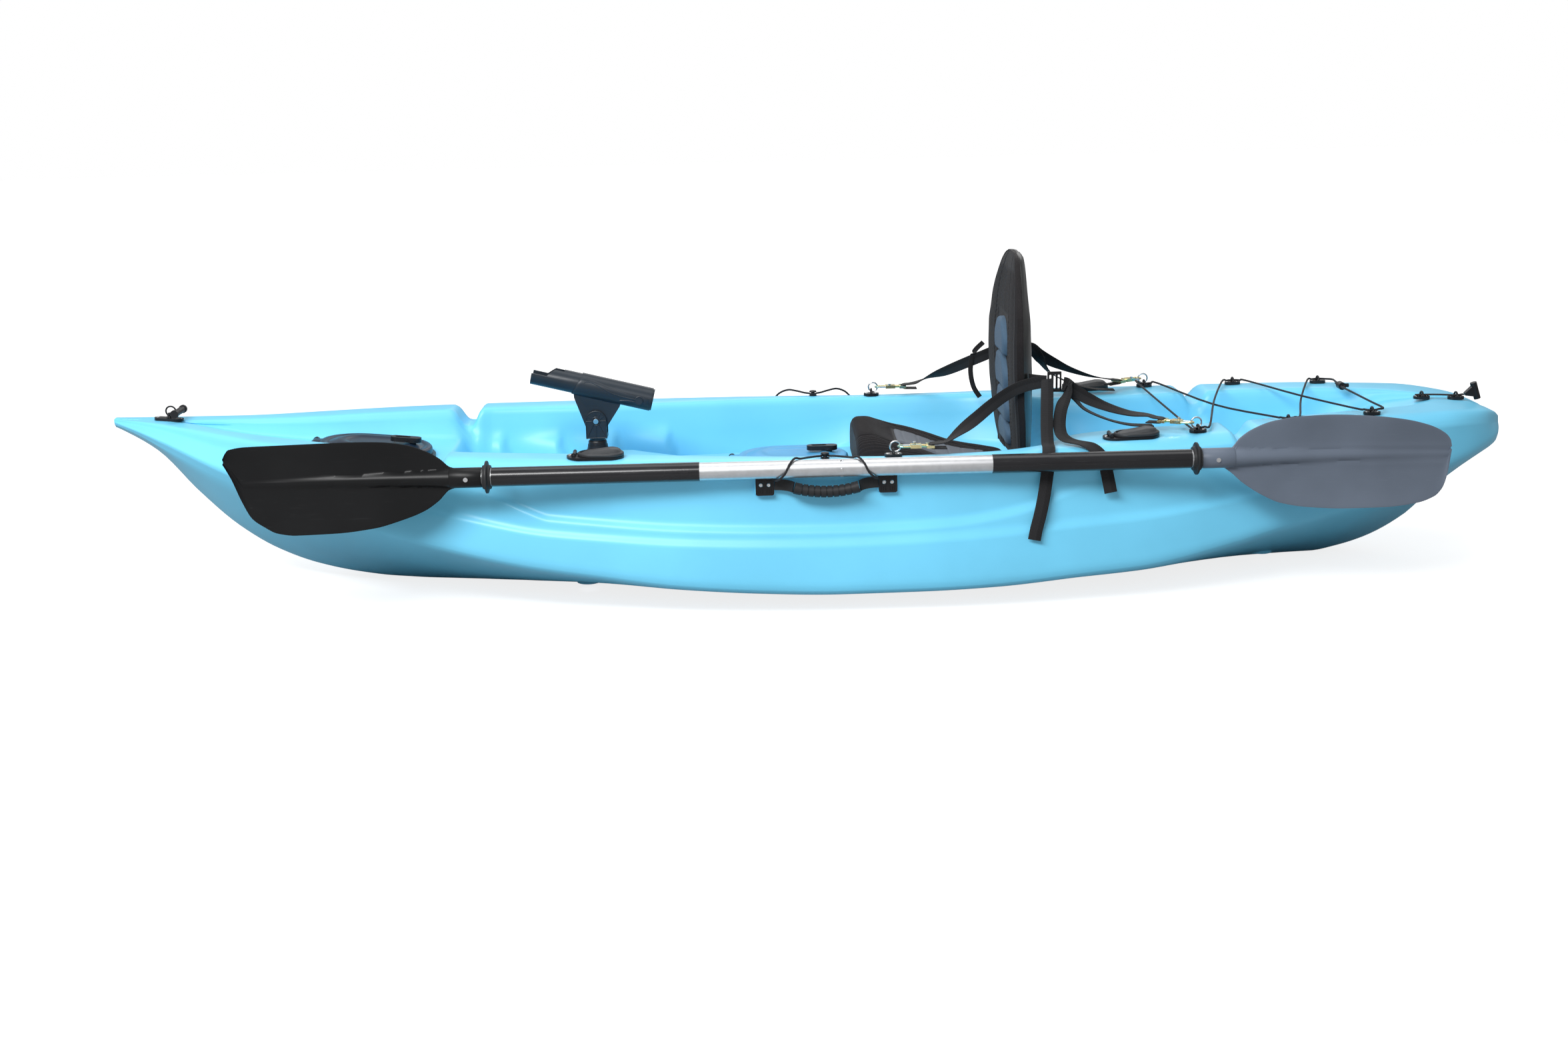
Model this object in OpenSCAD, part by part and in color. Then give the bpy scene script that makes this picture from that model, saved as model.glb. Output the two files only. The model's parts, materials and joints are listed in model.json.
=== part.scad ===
/* [Hull] */
// Length of the hull from the stem to the stern
hull_l = 2700; // [2500:10:3000]
// Beam of the hull, over the chines
beam = 764; // [730:2:810]
// Height of the side deck beside the seat
deck_h = 280; // [270:1:300]
// Wall of the moulded hull
wall = 4.5; // [4:0.5:6]
// Height of the footwell floors
footwell_z = 100; // [90:1:120]
// Height of the console top that carries the swivel rod holder
console_z = 225; // [215:1:232]
// Height of the console top that carries the middle hatch
hatch_shelf_z = 203; // [195:1:210]
// Half width of the console top
console_hw = 116; // [112:1:125]
// Height of the tank well floor
tank_z = 185; // [170:1:200]
// Depth of the front paddle rests in the gunwale
rest_front_d = 38; // [25:1:42]
// Depth of the rear paddle rests in the gunwale
rest_rear_d = 27; // [20:1:34]
// How far the foot steps stand out of the footwell walls
foot_step = 16; // [8:1:20]
// Step in the side below the upper panel
side_step_1 = 9; // [4:1:11]
// Step in the side at the lower strake
side_step_2 = 7; // [4:1:9]
// Bore of the scupper holes
scupper_d = 34; // [28:1:38]
// Wall of the scupper tubes
scupper_wall = 6; // [4:0.5:8]

/* [Hatches] */
// Length over the hatch rim flange
hatch_l = 232; // [226:1:236]
// Width over the hatch rim flange
hatch_w = 190; // [180:1:196]
// Height of the dome of a hatch lid
lid_dome = 7; // [3:0.5:10]
// Length of the latch lever
latch_l = 60; // [50:1:66]

/* [Rod holders] */
// Radius of the swivel base
rod_base_r = 42; // [40:0.5:46]
// Radius of the swivel pin
swivel_r = 12; // [10:0.5:13]
// Height of the tilt pivot over the console
pivot_z = 77; // [72:1:84]
// Length of the rod tube
tube_l = 240; // [200:2:260]
// Bore of the rod tube
tube_d = 36; // [30:0.5:38]
// Bore of the flush rod holders
flush_d = 40; // [36:0.5:40]
// Depth of the flush rod holders
flush_deep = 165; // [140:1:168]
// Lean of the flush rod holders, from upright
flush_lean = 25; // [20:1:28]

/* [Fittings] */
// Length of a pad eye
eye_l = 32; // [30:0.5:36]
// Diameter of the deck bungee
bungee_d = 4; // [3:0.1:4.2]
// Diameter of the keeper cords
keeper_d = 4; // [3:0.1:4.5]
// Length of the handle grip
grip_l = 115; // [100:1:122]
// Radius of the handle grip
grip_r = 10.5; // [9:0.1:11]
// Gap between the two plates of a handle
plate_gap = 220; // [214:1:230]

/* [Seat] */
// Height of the backrest over its hinge
back_h = 405; // [380:1:420]
// Half width of the backrest at its wings
back_hw = 200; // [185:1:205]
// Thickness of the backrest pad
back_t = 38; // [30:1:42]
// Width of the seat straps
strap_w = 23; // [18:0.5:25]
// Thickness of the seat straps
strap_t = 2; // [1.5:0.1:2.4]

/* [Paddle] */
// Radius of the paddle shaft
shaft_r = 16; // [14:0.1:16.2]
// Wall of the paddle shaft tube
shaft_wall = 1.5; // [1.2:0.1:2]
// Height of the shaft over the keel
paddle_z = 276; // [274:1:282]
// Distance of the shaft from the middle of the hull
paddle_y = 378; // [377:0.5:388]
// Thickness of the blade edge
blade_edge = 3; // [2:0.1:4]

/* [Hidden] */
$fn = 48;
// Design size that the lines of the hull below are drawn at
design_l = 2700;
design_beam = 764;
design_h = 280;
kx = hull_l / design_l;
ky = beam / design_beam;
kz = deck_h / design_h;

// Lines of the hull: pairs of station and offset, at the design size
keel_line = [[-1350, 312], [-1338, 306], [-1271, 262], [-1201, 180], [-1129, 109], [-1055, 60],
    [-978, 29], [-900, 12], [-821, 3], [-740, 0], [1000, 0], [1050, 8], [1105, 24], [1183, 67],
    [1235, 120], [1290, 166], [1343, 202], [1350, 210]];
keel_flat_line = [[-1350, 4], [-1200, 6], [-1000, 14], [-800, 40], [-500, 76], [600, 76],
    [900, 34], [1100, 14], [1250, 14], [1350, 10]];
chine_line = [[-1350, 12], [-1300, 44], [-1250, 75], [-1200, 105], [-1150, 133], [-1090, 163],
    [-1000, 205], [-900, 248], [-830, 275], [-700, 315], [-525, 346], [-390, 362], [-200, 377],
    [0, 382], [200, 382], [400, 372], [600, 348], [770, 315], [870, 290], [970, 264], [1050, 242],
    [1170, 200], [1250, 165], [1308, 120], [1335, 85], [1350, 50]];
chine_z_line = [[-1350, 320], [-1300, 306], [-1250, 288], [-1200, 271], [-1090, 233], [-960, 196],
    [-830, 160], [-700, 131], [-525, 95], [-390, 76], [-247, 57], [-100, 46], [42, 41], [186, 42],
    [331, 46], [476, 57], [600, 65], [770, 95], [870, 117], [970, 136], [1050, 150], [1170, 190],
    [1250, 214], [1308, 228], [1350, 236]];
crest_line = [[-1350, 9], [-1300, 19], [-1250, 34], [-1200, 54], [-1150, 76], [-1089, 104],
    [-1000, 148], [-900, 188], [-800, 219], [-668, 246], [-500, 272], [-300, 291], [-100, 299],
    [145, 301], [300, 297], [500, 276], [713, 233], [850, 207], [1057, 165], [1200, 132],
    [1280, 100], [1325, 66], [1350, 36]];
crest_z_line = [[-1350, 329], [-1270, 324], [-1200, 318], [-1100, 309], [-1000, 303], [-900, 299],
    [-668, 292], [-400, 286], [0, 281], [145, 279], [300, 281], [500, 288], [713, 295], [900, 302],
    [1057, 306], [1200, 306], [1290, 298], [1330, 286], [1350, 272]];
band_line = [[-1350, 2], [-1200, 14], [-1000, 26], [-800, 36], [-500, 46], [300, 46], [500, 48],
    [713, 56], [1057, 50], [1200, 40], [1300, 24], [1350, 6]];
inner_line = [[-1350, 6], [-1250, 8], [-1219, 10], [-1127, 48], [-968, 112], [-900, 140],
    [-800, 172], [-700, 198], [-643, 215], [-400, 238], [-206, 266], [0, 286], [150, 290],
    [320, 285], [410, 262], [500, 180], [600, 158], [700, 155], [850, 145], [1000, 122],
    [1150, 82], [1210, 42], [1250, 24], [1350, 16]];
// Heights of the two side steps, as shares of the side from the chine to the gunwale
step_1_line = [[-1350, 0.76], [-620, 0.78], [-573, 0.72], [-520, 0.6], [-477, 0.53], [-266, 0.515],
    [35, 0.525], [250, 0.55], [330, 0.59], [400, 0.65], [450, 0.73], [500, 0.78], [1350, 0.76]];
step_2_line = [[-1350, 0.5], [-800, 0.5], [-675, 0.45], [-478, 0.37], [-250, 0.385], [34, 0.41],
    [449, 0.45], [956, 0.46], [1350, 0.5]];
step_1_fade = [[-640, 0], [-540, 1], [420, 1], [520, 0]];
step_2_fade = [[-820, 0], [-660, 1], [900, 1], [1120, 0]];

// Value of a line at a station: a smooth curve that never overshoots its points
function below(t, x, n = 0) = n + 1 < len(t) && t[n + 1][0] <= x ? below(t, x, n + 1) : n;
function grade(t, i) = (t[i + 1][1] - t[i][1]) / (t[i + 1][0] - t[i][0]);
function slope(t, i) =
    i <= 0 ? grade(t, 0)
    : i >= len(t) - 1 ? grade(t, len(t) - 2)
    : grade(t, i - 1) * grade(t, i) <= 0 ? 0
    : 2 * grade(t, i - 1) * grade(t, i) / (grade(t, i - 1) + grade(t, i));
function hermite(t, i, s) = let(h = t[i + 1][0] - t[i][0])
    t[i][1] * (2 * pow(s, 3) - 3 * s * s + 1) + slope(t, i) * h * (pow(s, 3) - 2 * s * s + s)
    + t[i + 1][1] * (3 * s * s - 2 * pow(s, 3)) + slope(t, i + 1) * h * (pow(s, 3) - s * s);
function curve(t, x) = let(c = min(max(x, t[0][0]), t[len(t) - 1][0]), i = min(below(t, c), len(t) - 2))
    hermite(t, i, (c - t[i][0]) / (t[i + 1][0] - t[i][0]));

function keel_z(x) = kz * curve(keel_line, x / kx);
function keel_flat(x) = ky * curve(keel_flat_line, x / kx);
function chine(x) = ky * curve(chine_line, x / kx);
function chine_z(x) = kz * curve(chine_z_line, x / kx);
function crest(x) = ky * curve(crest_line, x / kx);
function crest_z(x) = kz * curve(crest_z_line, x / kx);
function band(x) = ky * curve(band_line, x / kx);
function inner(x) = ky * curve(inner_line, x / kx);

// Stations of the deck
foredeck_x0 = -1000 * kx;
foredeck_x1 = -705 * kx;
foredeck_z0 = crest_z(foredeck_x0) - 41;
foredeck_grade = 0.1;
footwell_x0 = -655 * kx;
footwell_x1 = -60 * kx;
console_x0 = -470 * kx;
console_x1 = -350 * kx;
shelf_x0 = -260 * kx;
shelf_x1 = 86 * kx;
seat_x0 = 97 * kx;
seat_x1 = 455 * kx;
seat_front_z = 205;
seat_z = 165;
sill_x = 500 * kx;
sill_z = 232;
tank_x0 = 522 * kx;
tank_x1 = 1060 * kx;
foredeck_z1 = foredeck_z0 - foredeck_grade * (foredeck_x1 - foredeck_x0);

// Floor of the deck inside the gunwales, along the hull
floor_profile = [
    [-1350 * kx, crest_z(-1350 * kx) + 1], [-1250 * kx, crest_z(-1250 * kx)],
    [-1200 * kx, crest_z(-1200 * kx) - 7], [-1100 * kx, crest_z(-1100 * kx) - 27],
    [foredeck_x0, foredeck_z0], [foredeck_x1, foredeck_z1], [footwell_x0, footwell_z],
    [footwell_x1, footwell_z], [seat_x0, seat_z + 5], [seat_x0 + 13, seat_z + 5],
    [seat_x0 + 220, seat_z], [seat_x1, seat_z], [sill_x, sill_z], [tank_x0, sill_z],
    [tank_x0 + 20, tank_z], [tank_x1 - 100, tank_z + 12], [tank_x1, tank_z + 52],
    [1150 * kx, crest_z(1150 * kx) - 22], [1230 * kx, crest_z(1230 * kx) - 4],
    [1300 * kx, crest_z(1300 * kx)], [1350 * kx, crest_z(1350 * kx) + 1]];
// Middle of the deck along the hull: as the floor, with the console and the seat front on it
middle_profile = concat(
    [for (p = floor_profile) if (p[0] < footwell_x0 + 1) p],
    [[console_x0 - 60 * kx, footwell_z], [console_x0, console_z], [console_x1, console_z],
        [shelf_x0, hatch_shelf_z], [shelf_x1, hatch_shelf_z], [seat_x0, seat_front_z],
        [seat_x0 + 13, seat_front_z]],
    [for (p = floor_profile) if (p[0] > seat_x0 + 200) p]);
function floor_z(x) = lookup(x, floor_profile);
function middle_z(x) = lookup(x, middle_profile);
function seat_wide(x) = lookup(x, [[shelf_x0, 0], [seat_x0, 1], [seat_x1, 1], [sill_x, 0]]);
// The console is narrow beside the feet and widens under the middle hatch
function console_w(x) = min(console_hw * lookup(x / kx, [[-340, 0.7], [-260, 1]]) + seat_wide(x) * 44,
    inner(x) * 0.62);
function console_foot(x) = min(console_w(x) + 20, inner(x) * 0.72);
function wall_run(x) = min(34, inner(x) * 0.2);
// The foot steps make the footwell wall zigzag
function foot_tooth(x) = let(s = (x / kx + 640) / 80)
    s <= 0 || s >= 3.75 ? 0 : 1 - abs(2 * (s - floor(s)) - 1);

// Paddle rests: how far the gunwale is cut down at a station
rest_front = [[-730, 0], [-720, 0.18], [-706, 0.85], [-696, 1], [-686, 0.9], [-674, 0.2], [-666, 0]];
rest_rear = [[770, 0], [778, 0.2], [788, 0.9], [798, 1], [808, 0.9], [820, 0.2], [828, 0]];
function rest_cut(x) = rest_front_d * lookup(x / kx, rest_front) + rest_rear_d * lookup(x / kx, rest_rear);

// The hollow of the hull keeps below the paddle rests over this stretch
rest_keep = [[-752, 0], [-736, 1], [-660, 1], [-644, 0], [748, 0], [764, 1], [834, 1], [850, 0]];

// One half of a section, from the keel up the side and over the gunwale to the middle of the deck
function bilge(x, s) = let(p = lookup(x / kx, [[-1300, 1], [-700, 1.15], [0, 1.7], [700, 1.3], [1300, 1]]))
    [keel_flat(x) + (chine(x) - keel_flat(x)) * s, keel_z(x) + (chine_z(x) - keel_z(x)) * pow(s, p)];
function side_base(x, s) = let(top = crest(x) + band(x) + min(12, 0.3 * band(x)),
    z0 = chine_z(x) + min(12, 0.3 * (crest_z(x) - chine_z(x))))
    [chine(x) + (top - chine(x)) * pow(s, 1.25), z0 + (crest_z(x) - gunwale_roll(x) - z0) * s];
function gunwale_roll(x) = min(22, 0.35 * (crest_z(x) - chine_z(x)));
function side(x, s, inset) = side_base(x, s) - [inset, 0];
function step_1(x) = side_step_1 * lookup(x / kx, step_1_fade);
function step_2(x) = side_step_2 * lookup(x / kx, step_2_fade);
function half_section(x) = let(
    h1 = curve(step_1_line, x / kx), h2 = curve(step_2_line, x / kx), t = 0.035,
    cut = rest_cut(x), gw = inner(x), top = crest_z(x), fz = min(floor_z(x), top + 1),
    mz = min(middle_z(x), top + 1), cf = console_foot(x), flat_out = min(24, 0.6 * band(x)),
    tooth = foot_step * foot_tooth(x), lip = min(8, 0.15 * gw))
    [[0, keel_z(x)], [keel_flat(x), keel_z(x)], bilge(x, 0.3), bilge(x, 0.6), bilge(x, 0.85),
        bilge(x, 1) - [min(7, 0.1 * chine(x)), 0], side(x, 0.02, 0),
        side(x, h2 - t, 0), side(x, h2 + t, step_2(x)), side(x, h1 - t, step_2(x)),
        side(x, h1 + t, step_1(x) + step_2(x)), side(x, 0.87, 0.6 * step_1(x) + 0.5 * step_2(x)),
        side(x, 1, 0) - [0, 0.5 * cut],
        [crest(x) + band(x), top - 0.18 * band(x) - 0.9 * cut], [crest(x) + flat_out, top - cut],
        [gw + lip, top - cut], [gw, top - min(7, 0.3 * lip + 0.35 * max(0, top - fz)) - cut],
        [gw - 0.45 * wall_run(x) - 0.8 * tooth, fz + 0.42 * max(0, top - cut - fz)],
        [gw - wall_run(x) - tooth, fz + 0.04 * max(0, top - fz)],
        [cf, fz], [console_w(x), mz], [0, mz]];

// One half of a section of the hollow: the section drawn in by the wall, deeper at steep stretches
function hollow_section(x) = let(
    e = wall + 1, h1 = curve(step_1_line, x / kx), h2 = curve(step_2_line, x / kx), t = 0.035,
    cut = max(rest_front_d, rest_rear_d) * lookup(x / kx, rest_keep), gw = inner(x),
    kz0 = max(keel_z(x - e), keel_z(x + e)) + wall, top = crest_z(x) - wall - cut,
    fz = min(floor_z(x - e), floor_z(x + e), crest_z(x)) - wall,
    mz = min(middle_z(x - e), middle_z(x + e), crest_z(x)) - wall,
    cf = max(console_foot(x) - 1.8 * wall, 0.45 * min(gw, 30)),
    cw = max(min(console_w(x) - 1.6 * wall, cf - 2), 0.25 * min(gw, 30)))
    [[0, kz0], [keel_flat(x), kz0], bilge(x, 0.6) + [0, wall + 2],
        [chine(x) - 2.4 * wall, max(chine_z(x) + 1.6 * wall, kz0 + 3)],
        side(x, h2 - t, wall + 2 + step_2(x)), side(x, h1 - t, wall + 2 + step_1(x) + step_2(x)),
        side(x, 0.88, wall + 3 + step_1(x) + step_2(x)) - [0, 0.8 * cut],
        [crest(x) + 0.3 * band(x), top - 3], [gw + 1.8 * wall, top - 2],
        [gw - 0.45 * wall_run(x) + 1.6 * wall, fz + 0.42 * max(0, top - fz)],
        [gw - wall_run(x) + wall, fz], [cf, fz], [cw, mz], [0, mz]];

// A closed skin through rings of points, each end closed by a fan
module skin(rings) {
    n = len(rings[0]);
    m = len(rings);
    ends = [for (r = [rings[0], rings[m - 1]]) [for (k = [0:2]) [for (p = r) p[k]] * [for (p = r) 1] / n]];
    sides = [for (j = [0:m - 2], i = [0:n - 1]) each let(a = j * n + i, b = j * n + (i + 1) % n)
        [[a, b, a + n], [b, b + n, a + n]]];
    fans = [for (i = [0:n - 1]) each let(k = (i + 1) % n)
        [[k, i, n * m], [(m - 1) * n + i, (m - 1) * n + k, n * m + 1]]];
    polyhedron(concat([for (r = rings) each r], ends), concat(sides, fans));
}
function full_ring(x, half) = concat(
    [for (p = half) [x, -p[0], p[1]]],
    [for (i = [len(half) - 2:-1:1]) [x, half[i][0], half[i][1]]]);

hull_stations = kx * [-1350, -1320, -1285, -1245, -1200, -1150, -1100, -1050, -1000, -940, -880, -820,
    -770, -730, -720, -706, -696, -686, -674, -666, -655, -640, -600, -560, -520, -500, -470, -440,
    -400, -360, -340, -300, -260, -190, -120, -60, 10, 60, 86, 97, 110, 160, 220, 265, 317, 385, 455,
    478, 500, 522, 542, 580, 640, 700, 770, 778, 788, 798, 808, 820, 828, 880, 960, 1010, 1060, 1110,
    1150, 1190, 1230, 1270, 1300, 1325, 1340, 1350];

hollow_stations = kx * [-1220, -1180, -1130, -1060, -1000, -930, -860, -800, -752, -736, -711, -660, -644,
    -590, -524, -464, -400, -356, -340, -300, -260, -160, -60, 20, 92, 180, 260, 340, 400, 461, 506,
    516, 536, 600, 680, 748, 764, 834, 850, 910, 960, 1010, 1060, 1110, 1150, 1190, 1230, 1270, 1300, 1320];

// Scupper holes, from the front: footwells, seat, tank well
scuppers = [for (p = [[-430, 150], [432, 118], [880, 84]], k = [-1, 1]) [p[0] * kx, k * p[1] * ky]];

module hull_outside() skin([for (x = hull_stations) full_ring(x, half_section(x))]);

module hull_hollow() skin([for (x = hollow_stations) full_ring(x, hollow_section(x))]);

// Sizes that the fittings share
screw_r = 2;
pin_fit = 0.03;
gap = 0.3;

// Hatch sizes: flange, coaming, gasket, lid
rim_flange = 16;
rim_wall = 6;
rim_t = 5;
rim_up = 8;
rim_neck = 12;
gasket_t = 2.5;
lid_skirt = 9;
lid_t = 4.2;
lid_under = rim_t + rim_up + gasket_t + gap;
lid_top = lid_under + lid_t + lid_dome;
hinge_off = hatch_l / 2 + 4;
hinge_z = 12;
hinge_r = 7;
hinge_pin_r = 2.5;
latch_x = 72;
latch_r = 6;
front_hatch_x = -850 * kx;
front_hatch_z = foredeck_z0 - foredeck_grade * (front_hatch_x - foredeck_x0);
mid_hatch_x = -31 * kx;

// Shapes that the fittings share
module stadium_2d(l, w) {
    square([l - w, w], center = true);
    for (k = [-1, 1])
        translate([k * (l - w) / 2, 0]) circle(d = w);
}
module stadium(l, w, h, z = 0) translate([0, 0, z]) linear_extrude(h) stadium_2d(l, w);
module rounded_2d(l, w, r) {
    square([l - 2 * r, w], center = true);
    square([l, w - 2 * r], center = true);
    for (i = [-1, 1], k = [-1, 1])
        translate([i * (l / 2 - r), k * (w / 2 - r)]) circle(r);
}
// A round bar along Y
module across(y0, y1, r) translate([0, y0, 0]) rotate([-90, 0, 0]) cylinder(r = r, h = y1 - y0);
// A round bar along X
module along(x0, x1, r) translate([x0, 0, 0]) rotate([0, 90, 0]) cylinder(r = r, h = x1 - x0);
// A pan-head screw that stands on the plane z = 0
module pan_screw(shank, rise = 2.2) rotate_extrude()
    polygon([[0, -shank], [screw_r, -shank], [screw_r, 0], [3.7, 0], [3.7, 0.45 * rise], [2.6, rise],
        [0, rise]]);
module screw_hole() translate([0, 0, -20]) cylinder(r = screw_r + 0.05, h = 60);

function unit(v) = v / norm(v);
function tangent(p, i) = unit(p[min(i + 1, len(p) - 1)] - p[max(i - 1, 0)]);
// A smooth line through hand-chosen points, with k steps between each two
function between(p, i, s) = let(a = p[max(i - 1, 0)], b = p[i], c = p[i + 1], d = p[min(i + 2, len(p) - 1)])
    0.5 * (2 * b + (c - a) * s + (2 * a - 5 * b + 4 * c - d) * s * s + (3 * b - a - 3 * c + d) * pow(s, 3));
function smooth(p, k) = concat([for (i = [0:len(p) - 2], j = [0:k - 1]) between(p, i, j / k)],
    [p[len(p) - 1]]);
// A round cord along a path
module cord(path, d, sides = 8) {
    up = [0.011, 0.023, 1];
    skin([for (i = [0:len(path) - 1])
        let(t = tangent(path, i), n = unit(cross(t, up)), b = cross(t, n))
        [for (j = [0:sides - 1])
            path[i] + d / 2 * (cos(j * 360 / sides) * n - sin(j * 360 / sides) * b)]]);
}
// A flat web along a route of rows: the place, then the way its width lies
module web(route, w, t, k = 3) {
    path = smooth([for (r = route) [r[0], r[1], r[2]]], k);
    lies = smooth([for (r = route) [r[3], r[4], r[5]]], k);
    skin([for (i = [0:len(path) - 1])
        let(f = tangent(path, i), m = unit(cross(f, lies[i])), s = cross(m, f))
        [for (q = [[1, 1], [1, -1], [-1, -1], [-1, 1]])
            path[i] + q[0] * w / 2 * s + q[1] * t / 2 * m]]);
}
function flip_y(route) = [for (r = route)
    len(r) == 6 ? [r[0], -r[1], r[2], r[3], -r[4], r[5]] : [r[0], -r[1], r[2]]];

// Places of the fittings on the deck
module at_front_hatch() translate([front_hatch_x, 0, front_hatch_z])
    rotate([0, atan(foredeck_grade), 0]) children();
module at_mid_hatch() translate([mid_hatch_x, 0, hatch_shelf_z]) children();
module hatch_hole()
    stadium(hatch_l - 2 * rim_flange + 2 * gap, hatch_w - 2 * rim_flange + 2 * gap, 60, -30);

rod_x = -414 * kx;
module at_rod() translate([rod_x, 0, console_z]) children();
module at_tilt() translate([rod_x, 0, console_z + pivot_z]) children();

// Flush rod holders: port front, port rear, starboard front, starboard rear
flush_l = 104;
flush_w = 52;
flush_t = 4;
flush_wall = 3;
flush_hole = 8;
flush_lead = 1.6;
flush_lead_deep = 10;
flush_pin_x = -38;
flush_pin_z = 8;
flush_pin_r = 1.55;
flush_screws = [-46, 39];
flush_x = [-395 * kx, 587 * kx];
flush_y = [crest(flush_x[0]), crest(flush_x[1]) - 8];
flush_places = [for (k = [-1, 1], i = [0, 1]) [flush_x[i], k * flush_y[i]]];
function flush_pitch(x) = atan((crest_z(x - 52) - crest_z(x + 52)) / 104);
module at_flush(i) translate([flush_places[i][0], flush_places[i][1], crest_z(flush_places[i][0]) + 0.5])
    rotate([0, flush_pitch(flush_places[i][0]), 0]) children();
module flush_bore(r, deep) translate([flush_hole, 0, flush_t]) rotate([0, flush_lean, 0])
    translate([0, 0, -deep]) cylinder(r = r, h = deep + 30);

// Side handles
handle_x = 21 * kx;
handle_y = crest(handle_x) + band(handle_x) + 12.6;
handle_z = 245;
plate_w = 33;
plate_h = 39;
plate_t = 5;
grip_out = paddle_y - handle_y;
grip_sag = 8;
grip_arc = (pow(grip_l / 2, 2) + pow(grip_sag, 2)) / (2 * grip_sag);
grip_half = asin(grip_l / 2 / grip_arc);
grip_low_z = handle_z - 11.5;
web_w = 20;
module at_plates() for (k = [-1, 1])
    translate([handle_x + k * plate_gap / 2, -handle_y, handle_z]) children();
module both_sides() {
    children();
    mirror([0, 1, 0]) children();
}

// Pad eyes stand on the flat of the gunwale, and on the deck at the bow and the stern
eye_w = 22;
eye_t = 5;
eye_arch_r = 9;
eye_bar_r = 2;
eye_out = 8;
eye_hole_z = eye_t + 2.8;
eye_x = [145 * kx, 713 * kx, 890 * kx, 1057 * kx];
bow_eye_x = -1247 * kx;
stern_eye_x = [1212 * kx, 1280 * kx];
function eye_y(x) = crest(x) + eye_out;
function eye_z(x) = crest_z(x) + 0.6;
function fall(x) = atan((crest_z(x - 16) - crest_z(x + 16)) / 32);
stern_eye_z = [max(floor_z(stern_eye_x[0] - 16), floor_z(stern_eye_x[0] + 16)) + 0.6,
    floor_z(stern_eye_x[1]) + 1.2];
module at_eye(x, side) translate([x, side * eye_y(x), eye_z(x)]) children();
module each_eye() for (x = eye_x, side = [-1, 1])
    at_eye(x, side) rotate([0, fall(x), 0]) children();

// Links and snap hooks: u runs from the eye along the pull of the strap
link_r = 9.5;
link_bar = 1.6;
link_u = 3.5;
link_z = eye_t - 0.5 + eye_arch_r + 4.6;
hook_r = 7.5;
hook_bar = 1.9;
hook_turn = [0, 30];
module at_link(side, rear) at_eye(eye_x[rear], side) scale([rear == 1 ? -1 : 1, 1, 1]) children();
module at_hook(side, rear) at_link(side, rear) translate([link_u + link_r, 0, link_z])
    rotate([0, 0, -side * hook_turn[rear]]) translate([hook_r - 4, 0, 0]) scale([1, side, 1]) children();

// Hull
handle_boss = 38;
drain_z = 243 * kz;
drain_r = 9;
module hull_moulding() color("deepskyblue") difference() {
    union() {
        hull_outside();
        both_sides() at_plates() translate([-handle_boss / 2, 0.1, -handle_boss / 2])
            cube([handle_boss, 14, handle_boss]);
    }
    difference() {
        hull_hollow();
        for (p = scuppers)
            translate([p[0], p[1], -10]) cylinder(d = scupper_d + 2 * scupper_wall, h = deck_h);
    }
    for (p = scuppers)
        translate([p[0], p[1], -10]) cylinder(d = scupper_d, h = deck_h);
    at_front_hatch() hatch_hole();
    at_mid_hatch() hatch_hole();
    for (i = [0:3])
        at_flush(i) flush_bore(flush_d / 2 + flush_wall + 0.4, 60);
    translate([hull_l / 2 - 40, 0, drain_z]) along(0, 60, drain_r + 0.05);
}
module drain_plug() color([0.1, 0.1, 0.1]) translate([hull_l / 2 + gap, 0, drain_z]) {
    along(-26, 0, drain_r);
    along(0, 4, 15);
    translate([3.5, -10, -2]) cube([4, 20, 4]);
}

// Hatches
module hatch_rim() difference() {
    union() {
        stadium(hatch_l, hatch_w, rim_t);
        stadium(hatch_l - 2 * rim_flange, hatch_w - 2 * rim_flange, rim_neck + rim_t + rim_up, -rim_neck);
        translate([-hinge_off - 4, -26, 0]) cube([20, 52, rim_t]);
        for (k = [-1, 1])
            translate([-hinge_off, k * 20 - 3, 0]) cube([8, 6, hinge_z]);
        for (k = [-1, 1])
            translate([-hinge_off, 0, hinge_z]) across(k * 20 - 3, k * 20 + 3, hinge_r);
    }
    stadium(hatch_l - 2 * rim_flange - 2 * rim_wall, hatch_w - 2 * rim_flange - 2 * rim_wall, 80, -40);
    translate([-hinge_off, 0, hinge_z]) across(-40, 40, hinge_pin_r + pin_fit);
}
module hatch_gasket() difference() {
    stadium(hatch_l - 2 * rim_flange, hatch_w - 2 * rim_flange, gasket_t, rim_t + rim_up + 0.02);
    stadium(hatch_l - 2 * rim_flange - 2 * rim_wall, hatch_w - 2 * rim_flange - 2 * rim_wall, 60, -10);
}
module hatch_pin() translate([-hinge_off, 0, hinge_z]) across(-24, 24, hinge_pin_r);
module hatch_lid() {
    lid_l = hatch_l - 2 * rim_flange + 2 * lid_skirt + 2;
    lid_w = hatch_w - 2 * rim_flange + 2 * lid_skirt + 2;
    difference() {
        union() {
            stadium(lid_l, lid_w, lid_under + lid_t - rim_t - 0.6, rim_t + 0.6);
            hull() {
                stadium(lid_l - 4, lid_w - 4, 0.5, lid_under + lid_t - 0.5);
                stadium(lid_l - 60, lid_w - 60, 0.5, lid_top - 0.5);
            }
            translate([-hinge_off, 0, hinge_z]) across(-14, 14, hinge_r - 0.8);
            translate([-hinge_off, -14, hinge_z - 1]) cube([24, 28, lid_under + lid_t - hinge_z + 1]);
        }
        stadium(lid_l - 2 * lid_skirt, lid_w - 2 * lid_skirt, lid_under, 0);
        translate([-hinge_off, 0, hinge_z]) across(-40, 40, hinge_pin_r + pin_fit);
        translate([latch_x, 0, 0]) cylinder(r = latch_r + 0.05, h = 80);
    }
}
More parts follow.
